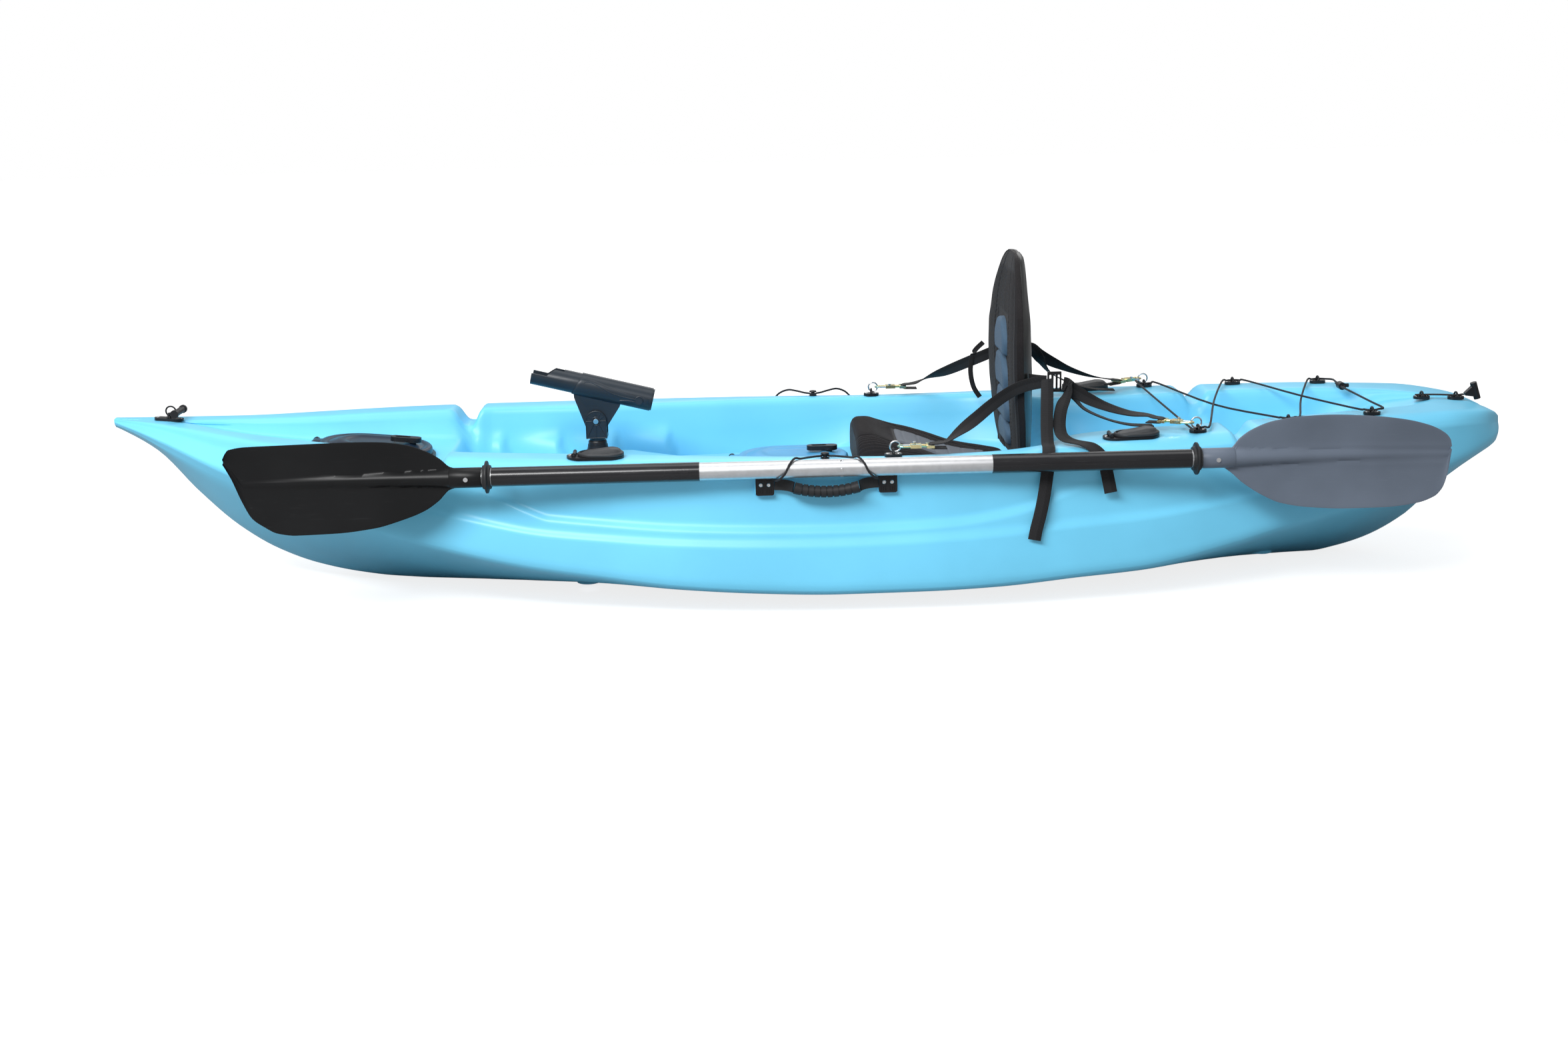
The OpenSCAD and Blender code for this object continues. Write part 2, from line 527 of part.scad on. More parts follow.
module hatch_latch() translate([latch_x, 0, 0]) {
    cylinder(r = latch_r, h = lid_top + 1);
    translate([0, 0, lid_top + gap]) cylinder(r = 14, h = 6);
    translate([16 - latch_l / 2, 0, lid_top + gap]) difference() {
        stadium(latch_l, 22, 9);
        translate([-6, 0, 5]) stadium(latch_l / 2, 11, 10);
    }
    translate([2, 0, -1]) stadium(26, 12, 4);
}
module front_hatch_rim() color([0.05, 0.05, 0.06]) at_front_hatch() hatch_rim();
module mid_hatch_rim() color([0.05, 0.05, 0.06]) at_mid_hatch() hatch_rim();
module hatch_gaskets() color([0.2, 0.2, 0.2]) {
    at_front_hatch() hatch_gasket();
    at_mid_hatch() hatch_gasket();
}
module hatch_hinge_pins() color("silver") {
    at_front_hatch() hatch_pin();
    at_mid_hatch() hatch_pin();
}
module front_hatch_lid() color([0.08, 0.12, 0.2]) at_front_hatch() hatch_lid();
module mid_hatch_lid() color([0.08, 0.12, 0.2]) at_mid_hatch() hatch_lid();
module front_hatch_latch() color([0.04, 0.04, 0.05]) at_front_hatch() hatch_latch();
module mid_hatch_latch() color([0.04, 0.04, 0.05]) at_mid_hatch() hatch_latch();

// Swivel rod holder
yoke_w = 41;
yoke_t = 36;
yoke_cheek = 5;
bracket_t = 25;
bolt_r = 3;
tube_r = tube_d / 2 + 3;
tube_tilt = 14.2;
tube_off = -20.4;
tube_up = pivot_z - 14.6;
slot_l = 62;
slot_w = 20;
rod_screw_r = rod_base_r - 9;
module rod_base() color([0.05, 0.05, 0.06]) at_rod() difference() {
    rotate_extrude($fn = 96)
        polygon([[0, gap / 3], [rod_base_r, gap / 3], [rod_base_r, 3], [rod_base_r - 4, 6], [24, 12],
            [19, 21], [18, 34], [17, 36], [0, 36]]);
    translate([0, 0, 6]) cylinder(r = swivel_r + 0.05, h = 60);
    for (a = [30:120:270])
        rotate(a) translate([rod_screw_r, 0, 0]) {
            screw_hole();
            translate([0, 0, 5]) cylinder(r = 4.3, h = 20);
        }
}
module rod_yoke() color([0.06, 0.07, 0.08]) difference() {
    union() {
        at_rod() translate([0, 0, 8]) cylinder(r = swivel_r, h = 36);
        at_rod() translate([0, 0, 36 + gap]) cylinder(r = 15, h = 8);
        at_rod() translate([-yoke_w / 2, -yoke_t / 2, 42]) cube([yoke_w, yoke_t, 8]);
        for (k = [-1, 1])
            at_tilt() translate([0, k * (yoke_t - yoke_cheek) / 2, 0]) {
                across(-yoke_cheek / 2, yoke_cheek / 2, yoke_w / 2);
                translate([-yoke_w / 2, -yoke_cheek / 2, 46 - pivot_z])
                    cube([yoke_w, yoke_cheek, pivot_z - 46]);
            }
        for (k = [-1, 1], a = [-150, -120, -90, -60, -30, 0, 180])
            at_tilt() translate([0, k * (yoke_t / 2 + 0.3), 0]) rotate([0, a, 0])
                translate([9, -0.6, -0.8]) cube([9, 1.2, 1.6]);
    }
    at_tilt() across(-40, 40, bolt_r + pin_fit);
}
module at_tube() at_tilt() rotate([0, tube_tilt, 0]) translate([tube_off, 0, tube_up]) children();
module rod_tube() color([0.09, 0.1, 0.12]) difference() {
    union() {
        at_tube() along(-tube_l / 2, tube_l / 2, tube_r);
        at_tube() along(-24, tube_l / 2 - 3, tube_r + 1.6);
        at_tube() translate([tube_l / 2 - 26, 0, -4]) across(-tube_r - 5, tube_r + 5, 7);
        at_tilt() translate([0, bracket_t / 2, 0]) rotate([90, 0, 0]) linear_extrude(bracket_t)
            polygon([[-42, tube_up + 2], [-41, tube_up - 16], [-20, -14], [-14, -18], [14, -18], [20, -14],
                [47, tube_up - 36], [50, tube_up - 18]]);
    }
    at_tube() along(-tube_l, tube_l, tube_d / 2);
    at_tube() translate([-tube_l / 2 - 1, -slot_w / 2, 0]) cube([slot_l, slot_w, tube_r + 10]);
    at_tilt() across(-40, 40, bolt_r + pin_fit);
}
module rod_pivot_bolt() color("silver") at_tilt() {
    across(-yoke_t / 2 - 2, yoke_t / 2 + 7, bolt_r);
    translate([0, -yoke_t / 2 - 4.2, 0]) across(0, 3.2, 5);
    translate([0, yoke_t / 2 + 1, 0]) rotate([-90, 0, 0]) cylinder(r = 5.6, h = 5, $fn = 6);
}

// Flush rod holders
module flush_holder() difference() {
    union() {
        stadium(flush_l, flush_w, flush_t);
        intersection() {
            flush_bore(flush_d / 2 + flush_wall, flush_deep);
            translate([-200, -60, -300]) cube([400, 120, 300 + flush_t]);
        }
        for (k = [-1, 1])
            translate([flush_pin_x, 0, flush_pin_z]) {
                across(k * 15 - 2, k * 15 + 2, 3.5);
                translate([-3.5, k * 15 - 2, -flush_pin_z + 1]) cube([7, 4, flush_pin_z - 1]);
            }
    }
    flush_bore(flush_d / 2, flush_deep - 4);
    flush_bore(flush_d / 2 + flush_lead, flush_lead_deep);
    translate([flush_pin_x, 0, flush_pin_z]) across(-30, 30, flush_pin_r + pin_fit);
    for (x = flush_screws)
        translate([x, 0, 0]) screw_hole();
}
module flush_holders() color([0.05, 0.05, 0.06]) for (i = [0:3])
    at_flush(i) flush_holder();
module flush_cap(i) color([0.1, 0.1, 0.11]) at_flush(i) {
    translate([0, 0, flush_t + 0.4]) difference() {
        union() {
            translate([10, 0, 0]) hull() {
                stadium(flush_l - 20, flush_w - 2, 5);
                stadium(flush_l - 44, flush_w - 22, 11);
            }
            translate([flush_pin_x, -12, 0]) cube([20, 24, 4]);
        }
        translate([10, 0, -1]) stadium(flush_l - 28, flush_w - 10, 5);
    }
    translate([flush_pin_x, 0, flush_pin_z]) {
        across(-12, 12, 3.2);
        across(-17, 17, flush_pin_r);
    }
}
module flush_cap_port_front() flush_cap(0);
module flush_cap_port_rear() flush_cap(1);
module flush_cap_starboard_front() flush_cap(2);
module flush_cap_starboard_rear() flush_cap(3);

// Side handles
module handle_plates() color([0.12, 0.14, 0.16]) both_sides() at_plates() rotate([90, 0, 0]) difference() {
    linear_extrude(plate_t) rounded_2d(plate_w, plate_h, 4);
    for (k = [-1, 1])
        translate([k * 7, 0, 0]) screw_hole();
    for (i = [-3, -2, -1, 1, 2, 3], k = [-1, 1])
        translate([i * 4 - 0.8, k * 12 - 4, plate_t - 1.2]) cube([1.6, 8, 3]);
}
module handle_screws() color("silver") both_sides() at_plates() for (s = [-1, 1])
    translate([s * 7, -plate_t - 0.05, 0]) rotate([90, 0, 0]) difference() {
        pan_screw(plate_t - 0.4);
        for (a = [0, 90])
            rotate(a) translate([-2.6, -0.4, 1.2]) cube([5.2, 0.8, 3]);
    }
handle_web = [for (p = [[plate_gap / 2 - plate_w / 2 - 0.5, 3, 0], [78, 4.5, -0.5], [66, 10, -1.5],
    [grip_l / 2 + 1.6, grip_out - 3, -3]]) [p[0], -p[1], p[2], 0, 0.1, 1]];
module handle_webbing() for (k = [0, 1])
    translate([handle_x, -handle_y, handle_z]) mirror([k, 0, 0]) web(handle_web, web_w, 2.4);
module at_grip() translate([handle_x, -handle_y - grip_out, grip_low_z + grip_arc]) children();
module handle_grip() difference() {
    at_grip() rotate([90, 0, 0]) rotate([0, 0, -90 - grip_half])
        rotate_extrude(angle = 2 * grip_half, $fn = 64) translate([grip_arc, 0]) circle(grip_r);
    for (i = [-4:4])
        at_grip() rotate([0, i * 3, 0]) translate([-1.4, 0, -grip_arc]) rotate([0, 90, 0]) difference() {
            cylinder(r = grip_r + 4, h = 2.8);
            translate([0, 0, -1]) cylinder(r = grip_r - 1.6, h = 5);
        }
}
module port_handle_webbing() color([0.05, 0.05, 0.05]) handle_webbing();
module port_handle_grip() color([0.07, 0.07, 0.08]) handle_grip();
module starboard_handle_webbing() color([0.05, 0.05, 0.05]) mirror([0, 1, 0]) handle_webbing();
module starboard_handle_grip() color([0.07, 0.07, 0.08]) mirror([0, 1, 0]) handle_grip();

// Pad eyes, their screws, and the links on the four seat eyes
module pad_eye(l = eye_l) difference() {
    union() {
        stadium(l, eye_w, eye_t);
        translate([0, 0, eye_t - 0.5]) rotate([90, 0, 90]) rotate_extrude(angle = 180, $fn = 48)
            translate([eye_arch_r, 0]) circle(eye_bar_r);
    }
    for (k = [-1, 1])
        translate([k * (l / 2 - 6), 0, 0]) screw_hole();
}
module eye_screws(l = eye_l) for (k = [-1, 1])
    translate([k * (l / 2 - 6), 0, eye_t + 0.05]) pan_screw(eye_t - 0.4, 1.1);
bow_eye_l = 56;
module at_bow_eye() translate([bow_eye_x, 0, crest_z(bow_eye_x) + 0.3]) rotate([0, 4.5, 0]) children();
module at_stern_eye(i) translate([stern_eye_x[i], 0, stern_eye_z[i]]) children();
module pad_eyes() color([0.05, 0.05, 0.06]) {
    each_eye() pad_eye();
    at_bow_eye() pad_eye(bow_eye_l);
    for (i = [0, 1])
        at_stern_eye(i) pad_eye();
}
module deck_screws() color("silver") {
    each_eye() eye_screws();
    at_bow_eye() eye_screws(bow_eye_l);
    for (i = [0, 1])
        at_stern_eye(i) eye_screws();
    for (i = [0:3], x = flush_screws)
        at_flush(i) translate([x, 0, flush_t + 0.05]) pan_screw(flush_t - 0.4);
    for (a = [30:120:270])
        at_rod() rotate(a) translate([rod_screw_r, 0, 5.05]) pan_screw(4.4);
}
module link() translate([link_u, 0, link_z]) rotate([90, 0, 0]) rotate_extrude($fn = 48)
    translate([link_r, 0]) circle(link_bar);
module seat_links() color("silver") for (side = [-1, 1], rear = [0, 1])
    at_link(side, rear) link();

// Snap hooks: loop, body with the bolt's bore, neck, and the frame that holds the strap
module snap_hook() {
    rotate([0, 0, 90]) rotate_extrude(angle = 180, $fn = 48) translate([hook_r, 0]) circle(hook_bar);
    translate([0, hook_r, 0]) along(0, 15, hook_bar);
    difference() {
        union() {
            translate([14, -10, -3]) cube([20, 20, 6]);
            along(33, 45, 3);
            translate([43, -15, -2.5]) cube([14, 30, 5]);
        }
        translate([0, -hook_r, 0]) along(10, 32, 1.65);
        translate([20, -hook_r - 1.3, 0]) cube([11, 2.6, 10]);
        translate([46.5, -12.5, -5]) cube([6.5, 25, 10]);
    }
}
module snap_bolt() {
    translate([0, -hook_r, 0]) along(0.6, 24, 1.6);
    translate([22, -hook_r, 0]) cylinder(r = 1.2, h = 6.5);
    translate([22, -hook_r, 4.6]) cylinder(r = 3, h = 2);
}
module snap_hooks() color([0.8, 0.68, 0.35]) for (side = [-1, 1], rear = [0, 1])
    at_hook(side, rear) snap_hook();
module snap_bolt_port_front() color("silver") at_hook(-1, 0) snap_bolt();
module snap_bolt_port_rear() color("silver") at_hook(-1, 1) snap_bolt();
module snap_bolt_starboard_front() color("silver") at_hook(1, 0) snap_bolt();
module snap_bolt_starboard_rear() color("silver") at_hook(1, 1) snap_bolt();

// Stern lacing: one cord from the lock round the six eyes and back to the lock
cord_z = bungee_d / 2 + 0.45 + eye_t;
function eye_point(i, side, du, dv, dz = 0) = let(x = eye_x[i])
    [x + du, side * (eye_y(x) + dv), eye_z(x) + cord_z + dz];
// The cord runs beside the link in the front pair of eyes, and over the screw heads in the others
function through(i, side, a) = let(dv = i == 1 ? -3.75 : 0, dz = i == 1 ? 0 : 0.9)
    [eye_point(i, side, a * 26, -16, 1.5), eye_point(i, side, a * 14, -6, 0.8 + dz / 2),
        eye_point(i, side, a * 6, dv, dz), eye_point(i, side, -a * 6, dv, dz),
        eye_point(i, side, -a * 14, -6, 0.8 + dz / 2), eye_point(i, side, -a * 26, -16, 1.5)];
lock_x = 1074 * kx;
lock_y = 72;
lock_z = eye_z(eye_x[3]) + cord_z + 4;
lock_gap = 5.4;
bungee_path = concat(
    [[lock_x + lock_gap / 2, lock_y - 20, lock_z + 1], [lock_x + lock_gap / 2, lock_y - 12, lock_z],
        [lock_x + lock_gap / 2, lock_y + 12, lock_z], [lock_x + lock_gap / 2 + 2, 120, lock_z - 1]],
    through(3, 1, 1), [[973 * kx, 0, 306]], through(2, -1, 1), [[801 * kx, 0, 300]],
    [for (j = [0:4]) through(1, 1, 1)[j]], [for (j = [1:5]) through(1, -1, -1)[j]], [[801 * kx, 0, 307]],
    through(2, 1, -1), [[973 * kx, 0, 313]],
    through(3, -1, -1),
    [[lock_x + 4, -100, lock_z - 1], [lock_x - lock_gap / 2, lock_y - 30, lock_z],
        [lock_x - lock_gap / 2, lock_y - 12, lock_z], [lock_x - lock_gap / 2, lock_y + 12, lock_z],
        [lock_x - lock_gap / 2 - 1, lock_y + 22, lock_z + 1]]);
module deck_bungee() color([0.03, 0.03, 0.03]) cord(bungee_path, bungee_d);
module cord_lock() color([0.04, 0.04, 0.05]) translate([lock_x, lock_y, lock_z]) difference() {
    union() {
        across(-10, 10, 7.5);
        along(0, 15, 4);
    }
    for (k = [-1, 1])
        translate([k * lock_gap / 2, 0, 0]) across(-20, 20, bungee_d / 2 + 0.15);
}

// Bow and stern toggles
toggle_r = 6.5;
toggle_half = 28;
module bow_toggle() color([0.04, 0.04, 0.05]) at_bow_eye() {
    link();
    translate([link_u + link_r + toggle_r - 0.8, 0, link_z]) {
        across(-toggle_half, toggle_half, toggle_r);
        for (k = [-1, 1])
            across(k * toggle_half - 3, k * toggle_half + 3, toggle_r + 1.5);
    }
}
stern_strap = [[stern_eye_x[0] - 12, 0, stern_eye_z[0] + eye_t + 2.8, 0, 1, 0],
    [stern_eye_x[0], 0, stern_eye_z[0] + eye_t + 3, 0, 1, 0],
    [stern_eye_x[0] + 34 * kx, 0, stern_eye_z[1] + eye_t + 4.4, 0, 1, 0],
    [stern_eye_x[1], 0, stern_eye_z[1] + eye_t + 2.6, 0, 1, 0],
    [stern_eye_x[1] + 15.7, 0, stern_eye_z[1] + eye_t + 4, 0, 1, 0]];
module stern_toggle_strap() color([0.04, 0.04, 0.05]) web(stern_strap, 9, 2.2);
module stern_toggle() color([0.04, 0.04, 0.05])
    translate([stern_eye_x[1] + 17, 0, stern_eye_z[1] + eye_t + 4]) rotate([0, -18, 0]) {
        hull() {
            translate([0, -5, -2.5]) cube([2, 10, 5]);
            translate([18, -6, -11]) cube([4, 12, 22]);
        }
        translate([22, 0, -17]) cylinder(r = 6.5, h = 34);
    }

// Paddle keepers: a cord from plate to plate over the shaft, round its button
button_y = crest(handle_x) + 16;
button_z = crest_z(handle_x) + 0.2;
keeper_far = plate_gap / 2 - plate_w / 2;
keeper_r = shaft_r + keeper_d / 2 + 2;
function over_shaft(a, x) = [x, -paddle_y - keeper_r * cos(a), paddle_z + keeper_r * sin(a)];
port_keeper_half = [[keeper_far + 2, -handle_y - plate_t - keeper_d / 2 - 0.6, handle_z + 15.5],
    over_shaft(-90, 91), over_shaft(-50, 84), over_shaft(-12, 74), over_shaft(35, 66),
    over_shaft(82, 56), over_shaft(128, 46), [34, -handle_y + 18, button_z + 7], [18, -button_y - 8, button_z + 5.2],
    [8, -button_y - 2, button_z + 4.6], [5.6, -button_y + 4.4, button_z + 4.6]];
starboard_keeper_half = [[keeper_far + 2, handle_y + plate_t + keeper_d / 2 + 0.6, handle_z + 15.5],
    [84, handle_y + 5, handle_z + 22], [70, handle_y - 1, handle_z + 36],
    [52, handle_y - 16, button_z + 9], [34, button_y + 16, button_z + 8],
    [18, button_y + 8, button_z + 5.2], [8, button_y + 2, button_z + 4.6],
    [5.6, button_y - 4.4, button_z + 4.6]];
function keeper_path(half, end) = let(n = len(half)) smooth(concat(
    [for (p = half) [handle_x - p[0], p[1], p[2]]], [[handle_x, end, button_z + 4.4]],
    [for (i = [n - 1:-1:0]) [handle_x + half[i][0], half[i][1], half[i][2]]]), 2);
module port_keeper() color([0.03, 0.03, 0.03])
    cord(keeper_path(port_keeper_half, -button_y + 7), keeper_d);
module starboard_keeper() color([0.03, 0.03, 0.03])
    cord(keeper_path(starboard_keeper_half, button_y - 7), keeper_d);
module keeper_buttons() color([0.05, 0.05, 0.06]) both_sides() translate([handle_x, -button_y, button_z])
    rotate_extrude() polygon([[0, 0], [8, 0], [8, 1.6], [4, 1.9], [4, 7.5], [8, 8], [7.2, 10.5], [0, 12]]);

// Seat pad: stations aft of the seat front, with a crown, a dish, two channels and drawn-in sides
pad_stations = [-8, -3, 5, 13, 22, 45, 75, 110, 150, 195, 235, 270, 295, 308];
pad_top_line = [[-8, 266], [-3, 274], [5, 278], [22, 278.5], [45, 273], [75, 264], [110, 255], [150, 241],
    [195, 224], [235, 214], [270, 206], [295, 200], [308, 188]];
pad_half_line = [[-8, 138], [-3, 146], [22, 151], [110, 157], [195, 158], [270, 166], [308, 156]];
pad_dish_line = [[22, 0], [75, 14], [150, 18], [235, 11], [295, 3], [308, 0]];
function pad_half(u) = lookup(u, pad_half_line);
function pad_under(u) = middle_z(seat_x0 + u) + 0.6;
function pad_top(u, s) = let(z0 = pad_under(u), z1 = lookup(u, pad_top_line))
    z0 + (z1 - z0) * (1 - 0.5 * pow(abs(s), 6)) - lookup(u, pad_dish_line) * max(0, 1 - pow(s / 0.8, 2))
    - (abs(abs(s) - 0.625) < 0.01 ? 3.5 : 0);
function pad_ring(u) = let(h = pad_half(u)) concat(
    [for (k = [-8:8]) [seat_x0 + u, k / 8 * h * (1 - 0.03 * pow(k / 8, 4)), pad_top(u, k / 8)]],
    [for (k = [4:-1:-4]) [seat_x0 + u, k / 4 * (h - 9), pad_under(u)]]);
function shrunk(ring, f, dx) =
    let(n = len(ring), c = [for (k = [0:2]) [for (p = ring) p[k]] * [for (p = ring) 1] / n])
    [for (p = ring) c + f * (p - c) + [dx, 0, 0]];
module seat_pad() color([0.1, 0.09, 0.1])
    skin(concat([shrunk(pad_ring(pad_stations[0]), 0.6, 7)], [for (u = pad_stations) pad_ring(u)]));
// The panel on the seat pad
panel_half = 3;
module seat_pad_panel() color([0.35, 0.37, 0.4]) skin([for (i = [6:11])
    let(u = pad_stations[i], h = pad_half(u), end = i == 6 || i == 11 ? 1.5 : 4.5)
    concat([for (k = [-panel_half:panel_half])
            [seat_x0 + u, k / 8 * h, pad_top(u, k / 8) + 0.5 + (abs(k) == panel_half ? 1.5 : end)]],
        [for (k = [panel_half:-1:-panel_half]) [seat_x0 + u, k / 8 * h, pad_top(u, k / 8) + 0.5]])]);

// Backrest: rows of height, share of the half width, front face, share of the thickness, wing
hinge_x = 412 * kx;
back_hinge_z = 208;
back_rows = [[215, 0.7, 396, 0.32, 5], [224, 0.78, 395, 0.64, 6], [246, 0.88, 393, 0.74, 8],
    [275, 0.94, 391, 0.82, 10], [310, 0.98, 389, 0.9, 12], [350, 1, 387, 0.95, 14], [390, 1, 385, 1, 14],
    [425, 0.985, 384, 1, 13.5], [455, 0.965, 384, 0.97, 13], [485, 0.905, 385, 0.92, 11],
    [515, 0.835, 386, 0.82, 9], [542, 0.73, 388, 0.71, 7], [567, 0.61, 391, 0.6, 5],
    [588, 0.47, 394, 0.5, 4], [603, 0.34, 397, 0.37, 2], [611, 0.18, 400, 0.16, 1]];
function back_row(z, k) = lookup(z, [for (r = back_rows) [r[0], r[k]]]);
function back_up(z) = back_hinge_z + (z - back_hinge_z) * back_h / 405;
function back_y(z, s) = s * back_hw * back_row(z, 1);
function back_thick(z) = back_t * back_row(z, 3);
function back_front(z, s) = back_row(z, 2) * kx - back_row(z, 4) * s * s
    + back_thick(z) * 0.35 * pow(abs(s), 6) + (abs(abs(s) - 0.5) < 0.01 ? 0.08 * back_thick(z) : 0);
function back_rear(z, s) = back_row(z, 2) * kx - back_row(z, 4) * s * s
    + back_thick(z) * (1 - 0.35 * pow(abs(s), 6));
function back_ring(z, a, b) = concat(
    [for (k = [-6:6])
        [a == 0 ? back_front(z, k / 6) : back_rear(z, k / 6) + a, back_y(z, k / 6), back_up(z)]],
    [for (k = [6:-1:-6]) [back_rear(z, k / 6) + b, back_y(z, k / 6), back_up(z)]]);
module back_pad() color([0.1, 0.09, 0.1]) skin([for (r = back_rows) back_ring(r[0], 0, 0)]);
module back_shell() color([0.04, 0.04, 0.05])
    skin(concat([for (r = back_rows) if (r[0] > 220) back_ring(r[0], 0.6, 4.6)],
        [[for (p = back_ring(611, 0.6, 4.6)) p + [0, 0, 10]]]));
// The four soft lobes on the front of the backrest
lobes = [[240, 277], [293, 343], [359, 415], [425, 484]];
module lobe(z0, z1) skin([for (j = [0:6])
    let(z = z0 + (z1 - z0) * j / 6, b = sin(20 + 140 * j / 6), w = 0.34 * (0.8 + 0.2 * b))
    concat([for (k = [-4:4]) [back_front(z, k / 4 * w) - 1.8 - 8 * b * (1 - 0.9 * pow(k / 4, 4)),
                back_y(z, k / 4 * w), back_up(z)]],
        [for (k = [4:-1:-4]) [back_front(z, k / 4 * w) - 0.7, back_y(z, k / 4 * w), back_up(z)]])]);
module back_panel() color([0.33, 0.44, 0.56]) for (z = lobes)
    lobe(z[0], z[1]);
module back_buckles() color([0.05, 0.05, 0.06]) both_sides() translate([438 * kx, -213, 372]) difference() {
    cube([26, 5, 38]);
    for (x = [3.5, 11.5, 19])
        translate([x, -5, 6]) cube([4, 20, 26]);
}

// Straps: drawn for port, and flipped for starboard
function hook_web(rear) = let(d = rear == 1 ? -1 : 1, a = hook_turn[rear], x = eye_x[rear],
    p0 = [x + d * (link_u + link_r), -eye_y(x), eye_z(x) + link_z], du = [d * cos(a), sin(a), 0],
    lie = rear == 1 ? [sin(a), cos(a), 0] : [0, 1, 0], r = 2.5 + strap_t / 2 + 0.5)
    [for (q = [[82, 8], [66, r + 0.8], [56, r], [50.6, 2.7], [49.8, 0], [50.6, -2.7], [56, -r],
        [66, -r - 0.3], [80, -r - 0.8]]) concat(p0 + (hook_r - 4 + q[0]) * du + [0, 0, q[1]], lie)];
front_strap = concat([[436, -216, 392, 0, 0, 1], [420, -212, 390, 0, 0, 1], [395, -209, 384, 0, 0, 1],
    [368, -212, 373, 0, 0.1, 1], [335, -232, 356, 0, 0.3, 0.9], [300, -262, 336, 0, 0.6, 0.8],
    [268, -290, 319, 0, 0.9, 0.4]], hook_web(0));
rear_strap = concat([[467.5, -211, 388, 0, 0, 1], [474, -211.4, 386, 0, 0, 1],
    [488, -213, 374, 0, 0.1, 1], [512, -214, 359, 0, 0.3, 0.9], [548, -212, 342, 0.1, 0.8, 0.6],
    [590, -206, 328, 0.3, 0.9, 0.2]], hook_web(1));
back_strap = [[408, -184, 391, 0, 0, 1], [424, -200, 391, 0, 0, 1], [437, -208, 391, 0, 0, 1]];
tail_long = [[436, -221, 398, 0.5, 0, 0.9], [434, -236, 364, 0.9, 0, 0.3], [430, -262, 322, 1, 0, 0],
    [427, -290, 294, 1, 0, 0], [425, -318, 290, 1, 0, 0], [421, -342, 277, 1, 0, 0],
    [418, -352, 255, 1, 0, 0.1], [412, -358, 215, 1, 0, 0.1], [404, -366, 180, 1, 0, 0.1],
    [396, -372, 152, 1, 0, 0.1], [392, -375, 133, 1, 0, 0.1]];
tail_short = [[470, -214.7, 386, 0, 0, 1], [476, -215.8, 383, 0, 0, 1], [481, -221, 370, 0.6, 0, 0.8],
    [483, -237, 345, 1, 0, 0.2], [487, -260, 313, 1, 0, 0],
    [500, -289, 298, 1, 0, 0], [511, -318, 291, 1, 0, 0], [520, -340, 271, 1, 0, 0.1],
    [526, -348, 245, 1, 0, 0.1], [532, -355, 212, 1, 0, 0.1]];
tail_rear = [[470, -207.6, 386, 0, 0, 1], [476, -207.2, 383, 0, 0, 1], [488, -204, 366, 0, 0.3, 0.9],
    [508, -199, 338, 0, 1, 0.2], [550, -194, 316, 0, 1, 0],
    [595, -191, 303, 0, 1, 0], [640, -190, 300, 0, 1, 0]];
tail_thin = [[372, -215, 402, 0, 0, 1], [352, -217, 380, 0.4, 0, 0.9], [346, -218, 345, 1, 0, 0.2],
    [352, -220, 310, 1, 0, 0], [366, -222, 286, 1, 0, -0.1]];
module front_straps() color([0.04, 0.04, 0.05])
    for (r = [front_strap, flip_y(front_strap), back_strap, flip_y(back_strap)])
        web(r, strap_w, strap_t, 2);
module rear_straps() color([0.04, 0.04, 0.05]) for (r = [rear_strap, flip_y(rear_strap)])
    web(r, strap_w, strap_t, 2);
module strap_tails() color([0.04, 0.04, 0.05]) {
    for (r = [tail_long, tail_short, tail_rear, flip_y(tail_rear)])
        web(r, strap_w, strap_t, 2);
    web(flip_y(tail_thin), 10, 1.6, 2);
}

// Paddle, along X: bow half to the seam, ferrule, stern half
seam_x = 84;
button_x = 48;
neck_r = 18;
bow_neck = [-645, -588];
stern_neck = [687, 745];
bow_rivet_x = -615;
stern_rivet_x = 714;
bow_sleeve = [-571, -204];
stern_sleeve = [315, 669];
ferrule_x = [24, 144];
rivet_r = 2.4;
blade_top = [[-1036, 48], [-1030, 59], [-1024, 65], [-995, 69], [-915, 70], [-819, 71], [-771, 70],
    [-723, 64], [-686, 51], [-661, 36], [-643, 20], [-620, 15]];
blade_low = [[-1036, 39], [-1023, 11], [-1010, -26], [-994, -60], [-976, -75], [-952, -89], [-920, -94],
    [-852, -93], [-783, -86], [-733, -73], [-693, -58], [-666, -40], [-646, -21], [-620, -15]];
stern_blade_top = [[700, 15], [737, 16], [755, 36], [776, 51], [811, 65], [860, 73], [913, 75], [980, 72],
    [1039, 65], [1084, 54], [1112, 40], [1124, 26], [1126, 15]];
stern_blade_low = [[700, -15], [720, -15], [738, -25], [762, -46], [799, -70], [831, -84], [877, -92],
    [944, -96], [1012, -95], [1070, -88], [1101, -76], [1114, -61], [1121, -38], [1124, -15], [1126, 9]];
blade_stations = [-1036, -1032, -1024, -1010, -994, -970, -930, -880, -820, -760, -715, -680, -655,
    -635, -620];
stern_blade_stations = [705, 725, 745, 765, 795, 835, 880, 930, 985, 1040, 1085, 1108, 1119, 1124, 1126];
blade_shares = [-1, -0.94, -0.72, -0.42, -0.16, 0, 0.16, 0.42, 0.72, 0.94, 1];
